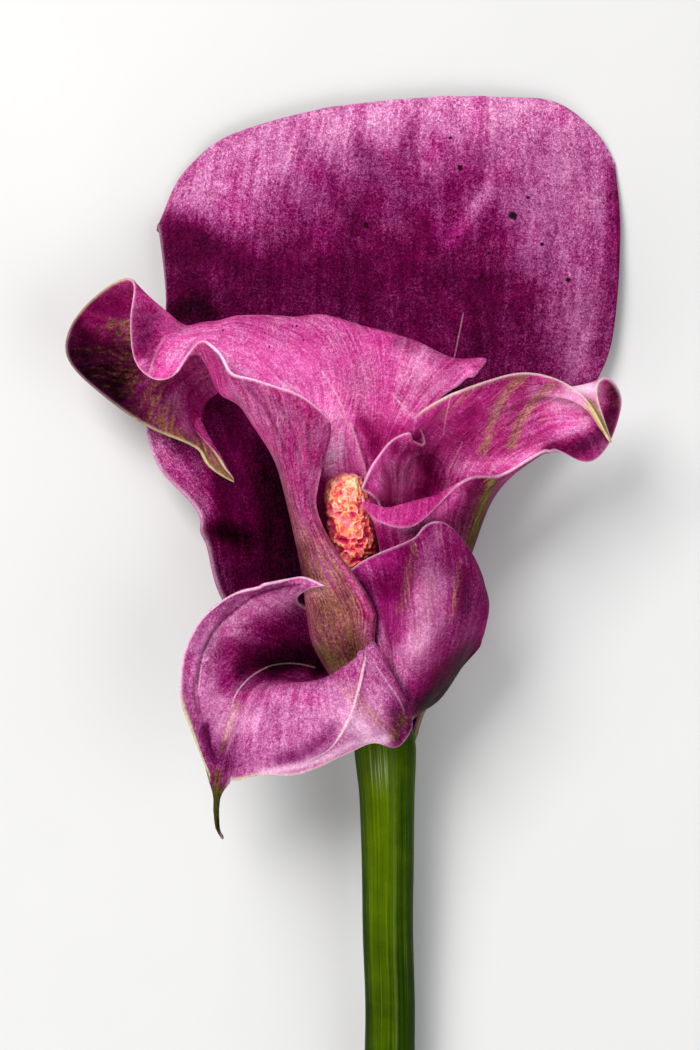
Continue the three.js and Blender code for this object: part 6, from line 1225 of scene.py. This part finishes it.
sa2, sc2, sr2, f1, f2 = rod_frame(spadix_path, spadix_rows)
w = np.linspace(0, 2 * np.pi, AROUND, endpoint=False)
S, W = np.meshgrid(sa2, w, indexing="ij")
base_r = np.maximum(sr2, 0.12)[:, None]
skin = sc2[:, None, :] + (f1[:, None, :] * np.cos(W)[..., None] + f2[:, None, :] * np.sin(W)[..., None]) * base_r[..., None]


def cells_3d(p, centres):
    """Nearest and second nearest distances from points to centres, and the nearest centre's number."""
    tree = kdtree.KDTree(len(centres))
    for k, c in enumerate(centres):
        tree.insert(c, k)
    tree.balance()
    out = np.empty((len(p), 3))
    for k, x in enumerate(p):
        (_, n1, d1), (_, _, d2) = tree.find_n(x, 2)
        out[k] = d1, d2, n1
    return out


def spiral(spacing, jitter, seed):
    """Points spread evenly over the spadix in a spiral, with some jitter."""
    r = np.random.default_rng(seed)
    out, s, n = [], 0.15, 0
    while s < sa2[-1]:
        rad = np.interp(s, sa2, base_r[:, 0])
        k = np.interp(s, sa2, np.arange(len(sa2)))
        i = int(k)
        ang = n * 2.39996 + r.uniform(-1, 1) * jitter / max(rad, 0.8)
        j = min(i + 1, len(sa2) - 1)
        c = sc2[i] + (sc2[j] - sc2[i]) * (k - i)
        out.append(c + (f1[i] * math.cos(ang) + f2[i] * math.sin(ang)) * rad + r.uniform(-1, 1, 3) * jitter * 0.6)
        s += spacing**2 * 0.866 / (2 * math.pi * max(rad, 0.9))
        n += 1
    return np.array(out)


flat = skin.reshape(-1, 3)
warp = np.stack([value_noise(flat / 1.3 + 11 * k, 70 + k) for k in range(3)], -1) * 0.55
small = cells_3d(flat + warp, spiral(1.15, 0.30, 4))
grain_cell = smooth01((small[:, 1] - small[:, 0]) / 0.5)
net = np.clip(1 - 3.3 * np.abs(value_noise((flat + 0.7 * warp) / np.array([1.30, 1.02, 1.30]), 33)), -1, 1)
net2 = np.clip(1 - 2.9 * np.abs(value_noise((flat + warp) / 0.80 + 5, 36)), -1, 1)
crest = 0.68 * net + 0.32 * net2
low = smooth01(S.ravel() + 0.9 * value_noise(flat / 2.0, 44), 4.6, 8.0)
lumps = value_noise((flat + warp) / 1.35, 51)
height = low * (0.42 * crest + 0.04) + (1 - low) * (0.20 * lumps + 0.17 * net2) + 0.09 * (grain_cell - 0.5) + 0.07 * value_noise(flat / 0.42, 81)
fall = smooth01(S.ravel(), 0.0, 1.2) * (1 - smooth01(S.ravel(), 26, 40))
height = height * np.maximum(fall, 0.25)
out_n = unit(f1[:, None, :] * np.cos(W)[..., None] + f2[:, None, :] * np.sin(W)[..., None])
lean = smooth01(S, 0.0, 2.6)[..., None]
axis_dir = -unit(np.gradient(sc2, axis=0))[:, None, :]
out_n = unit(out_n * lean + axis_dir * (1 - lean))
skin = skin + out_n * height.reshape(S.shape)[..., None]
# lighter where the florets are raised and darker in the pits between them: partly their own cream and red, partly
# painted shade in the pits
light = low * (0.40 + 0.52 * crest) + (1 - low) * (0.64 + 0.34 * lumps + 0.22 * net2) + 0.10 * (grain_cell - 0.5)
# the sides that face sideways and down turn darker and redder: partly the florets' own red, partly painted shade
rosy_side_shade = smooth01(0.80 - out_n[..., 2].ravel(), 0.0, 0.55)
spadix = closed_rod("spadix_florets", skin, {"light": light.reshape(S.shape), "down": S / sa2[-1], "low": low.reshape(S.shape), "rosy_side_shade": rosy_side_shade.reshape(S.shape)})


def spadix_material():
    m = bpy.data.materials.new("spadix_skin")
    k = Nodes(m)
    pos = k.position()
    light, down, low, rosy_side_shade = (k.attr(a) for a in ("light", "down", "low", "rosy_side_shade"))
    n1 = k.noise(pos, 0.50, 3.0, 0.6)
    n2 = k.noise(pos, 1.5, 3.0, 0.65, distort=0.8)
    n3 = k.noise(pos, 3.6, 2.0, 0.6)
    t = k.add(light, k.centred(n1, 0.30), k.centred(n2, 1.1), k.centred(n3, 0.9), k.centred(down, -0.35, 0.15))
    col = k.ramp(t, [(0.0, (0.34, 0.001, 0.050)), (0.20, (0.58, 0.007, 0.090)), (0.38, (0.78, 0.060, 0.085)), (0.55, (0.90, 0.21, 0.10)),
                     (0.76, (0.98, 0.43, 0.21)), (1.0, (1.0, 0.74, 0.46))])
    pink = k.mul(k.span(k.noise(pos, 0.42, 2.0, 0.5), 0.50, 0.62), 0.50)
    col = k.mix(pink, col, (0.90, 0.27, 0.33))
    col = k.mix(k.mul(rosy_side_shade, 0.62), col, (0.74, 0.060, 0.150))
    nrm = k.bump(k.add(k.mul(n2, 1.0), k.mul(n3, 0.6)), 0.6, 0.16)
    k.finish(col, k.add(0.42, k.centred(n3, 0.2)), nrm, spec=0.22, tint=(1.0, 0.7, 0.6), sss=0.12, sss_mm=0.6)
    return m


spadix.data.materials.append(spadix_material())

# ---------------------------------------------------------------- the frame: which CAD node each piece stands for
for ob, node, slot_name in (
    (stem, "stem", "stem_green"), (front, "front_spathe", "spathe_front"), (lower, "lower_right_spathe", "spathe_lower_right"),
    (middle, "middle_spathe", "spathe_middle"), (right, "right_spathe", "spathe_right"), (back, "back_spathe", "spathe_back"),
    (spadix, "spadix", "spadix_orange"),
):
    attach(ob, "root")
    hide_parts(node)

# ---------------------------------------------------------------- floor, light, camera
floor_mesh = bpy.data.meshes.new("floor")
floor_mesh.from_pydata([(-2.5, -2.5, -0.0001), (2.5, -2.5, -0.0001), (2.5, 2.5, -0.0001), (-2.5, 2.5, -0.0001)], [], [(0, 1, 2, 3)])
floor = bpy.data.objects.new("floor", floor_mesh)
scene.collection.objects.link(floor)
fm = bpy.data.materials.new("pale_floor")
fn = Nodes(fm)
fg = fn.noise(fn.position(), 0.02, 2.0, 0.5)
fn.finish(fn.mix(fg, (0.60, 0.60, 0.60), (0.64, 0.64, 0.635)), 0.75, None, spec=0.2)
floor_mesh.materials.append(fm)

world = bpy.data.worlds.new("studio")
scene.world = world
world.use_nodes = True
bg = world.node_tree.nodes["Background"]
bg.inputs[0].default_value = (0.95, 0.96, 1.0, 1)
bg.inputs[1].default_value = 0.13


def area_light(name, place, aim, size, watts, colour=(1, 1, 1)):
    li = bpy.data.lights.new(name, "AREA")
    li.shape = "SQUARE"
    li.size = size
    li.energy = watts
    li.color = colour
    ob = bpy.data.objects.new(name, li)
    ob.location = place
    ob.rotation_euler = (Vector(aim) - Vector(place)).to_track_quat("-Z", "Y").to_euler()
    scene.collection.objects.link(ob)


area_light("key_softbox", (-0.32, 0.40, 0.62), (0, 0.03, 0.01), 0.42, 7.0, (1.0, 0.985, 0.97))
area_light("fill_softbox", (0.55, -0.20, 0.55), (0, 0.02, 0.01), 0.7, 3.3, (0.96, 0.98, 1.0))
area_light("low_softbox", (-0.22, -0.58, 0.50), (0, 0.02, 0.01), 0.6, 3.6, (1.0, 0.99, 0.98))

cam = bpy.data.cameras.new("camera")
cam.sensor_width = 36.0
cam.lens = 36.0 * 600.0 / 210.0
cam.clip_start = 0.01
cam.clip_end = 20
camera = bpy.data.objects.new("camera", cam)
camera.location = tuple(CAM / 1000)
camera.rotation_euler = (0, 0, 0)
scene.collection.objects.link(camera)
scene.camera = camera

scene.view_settings.view_transform = "Standard"

bpy.context.view_layer.update()
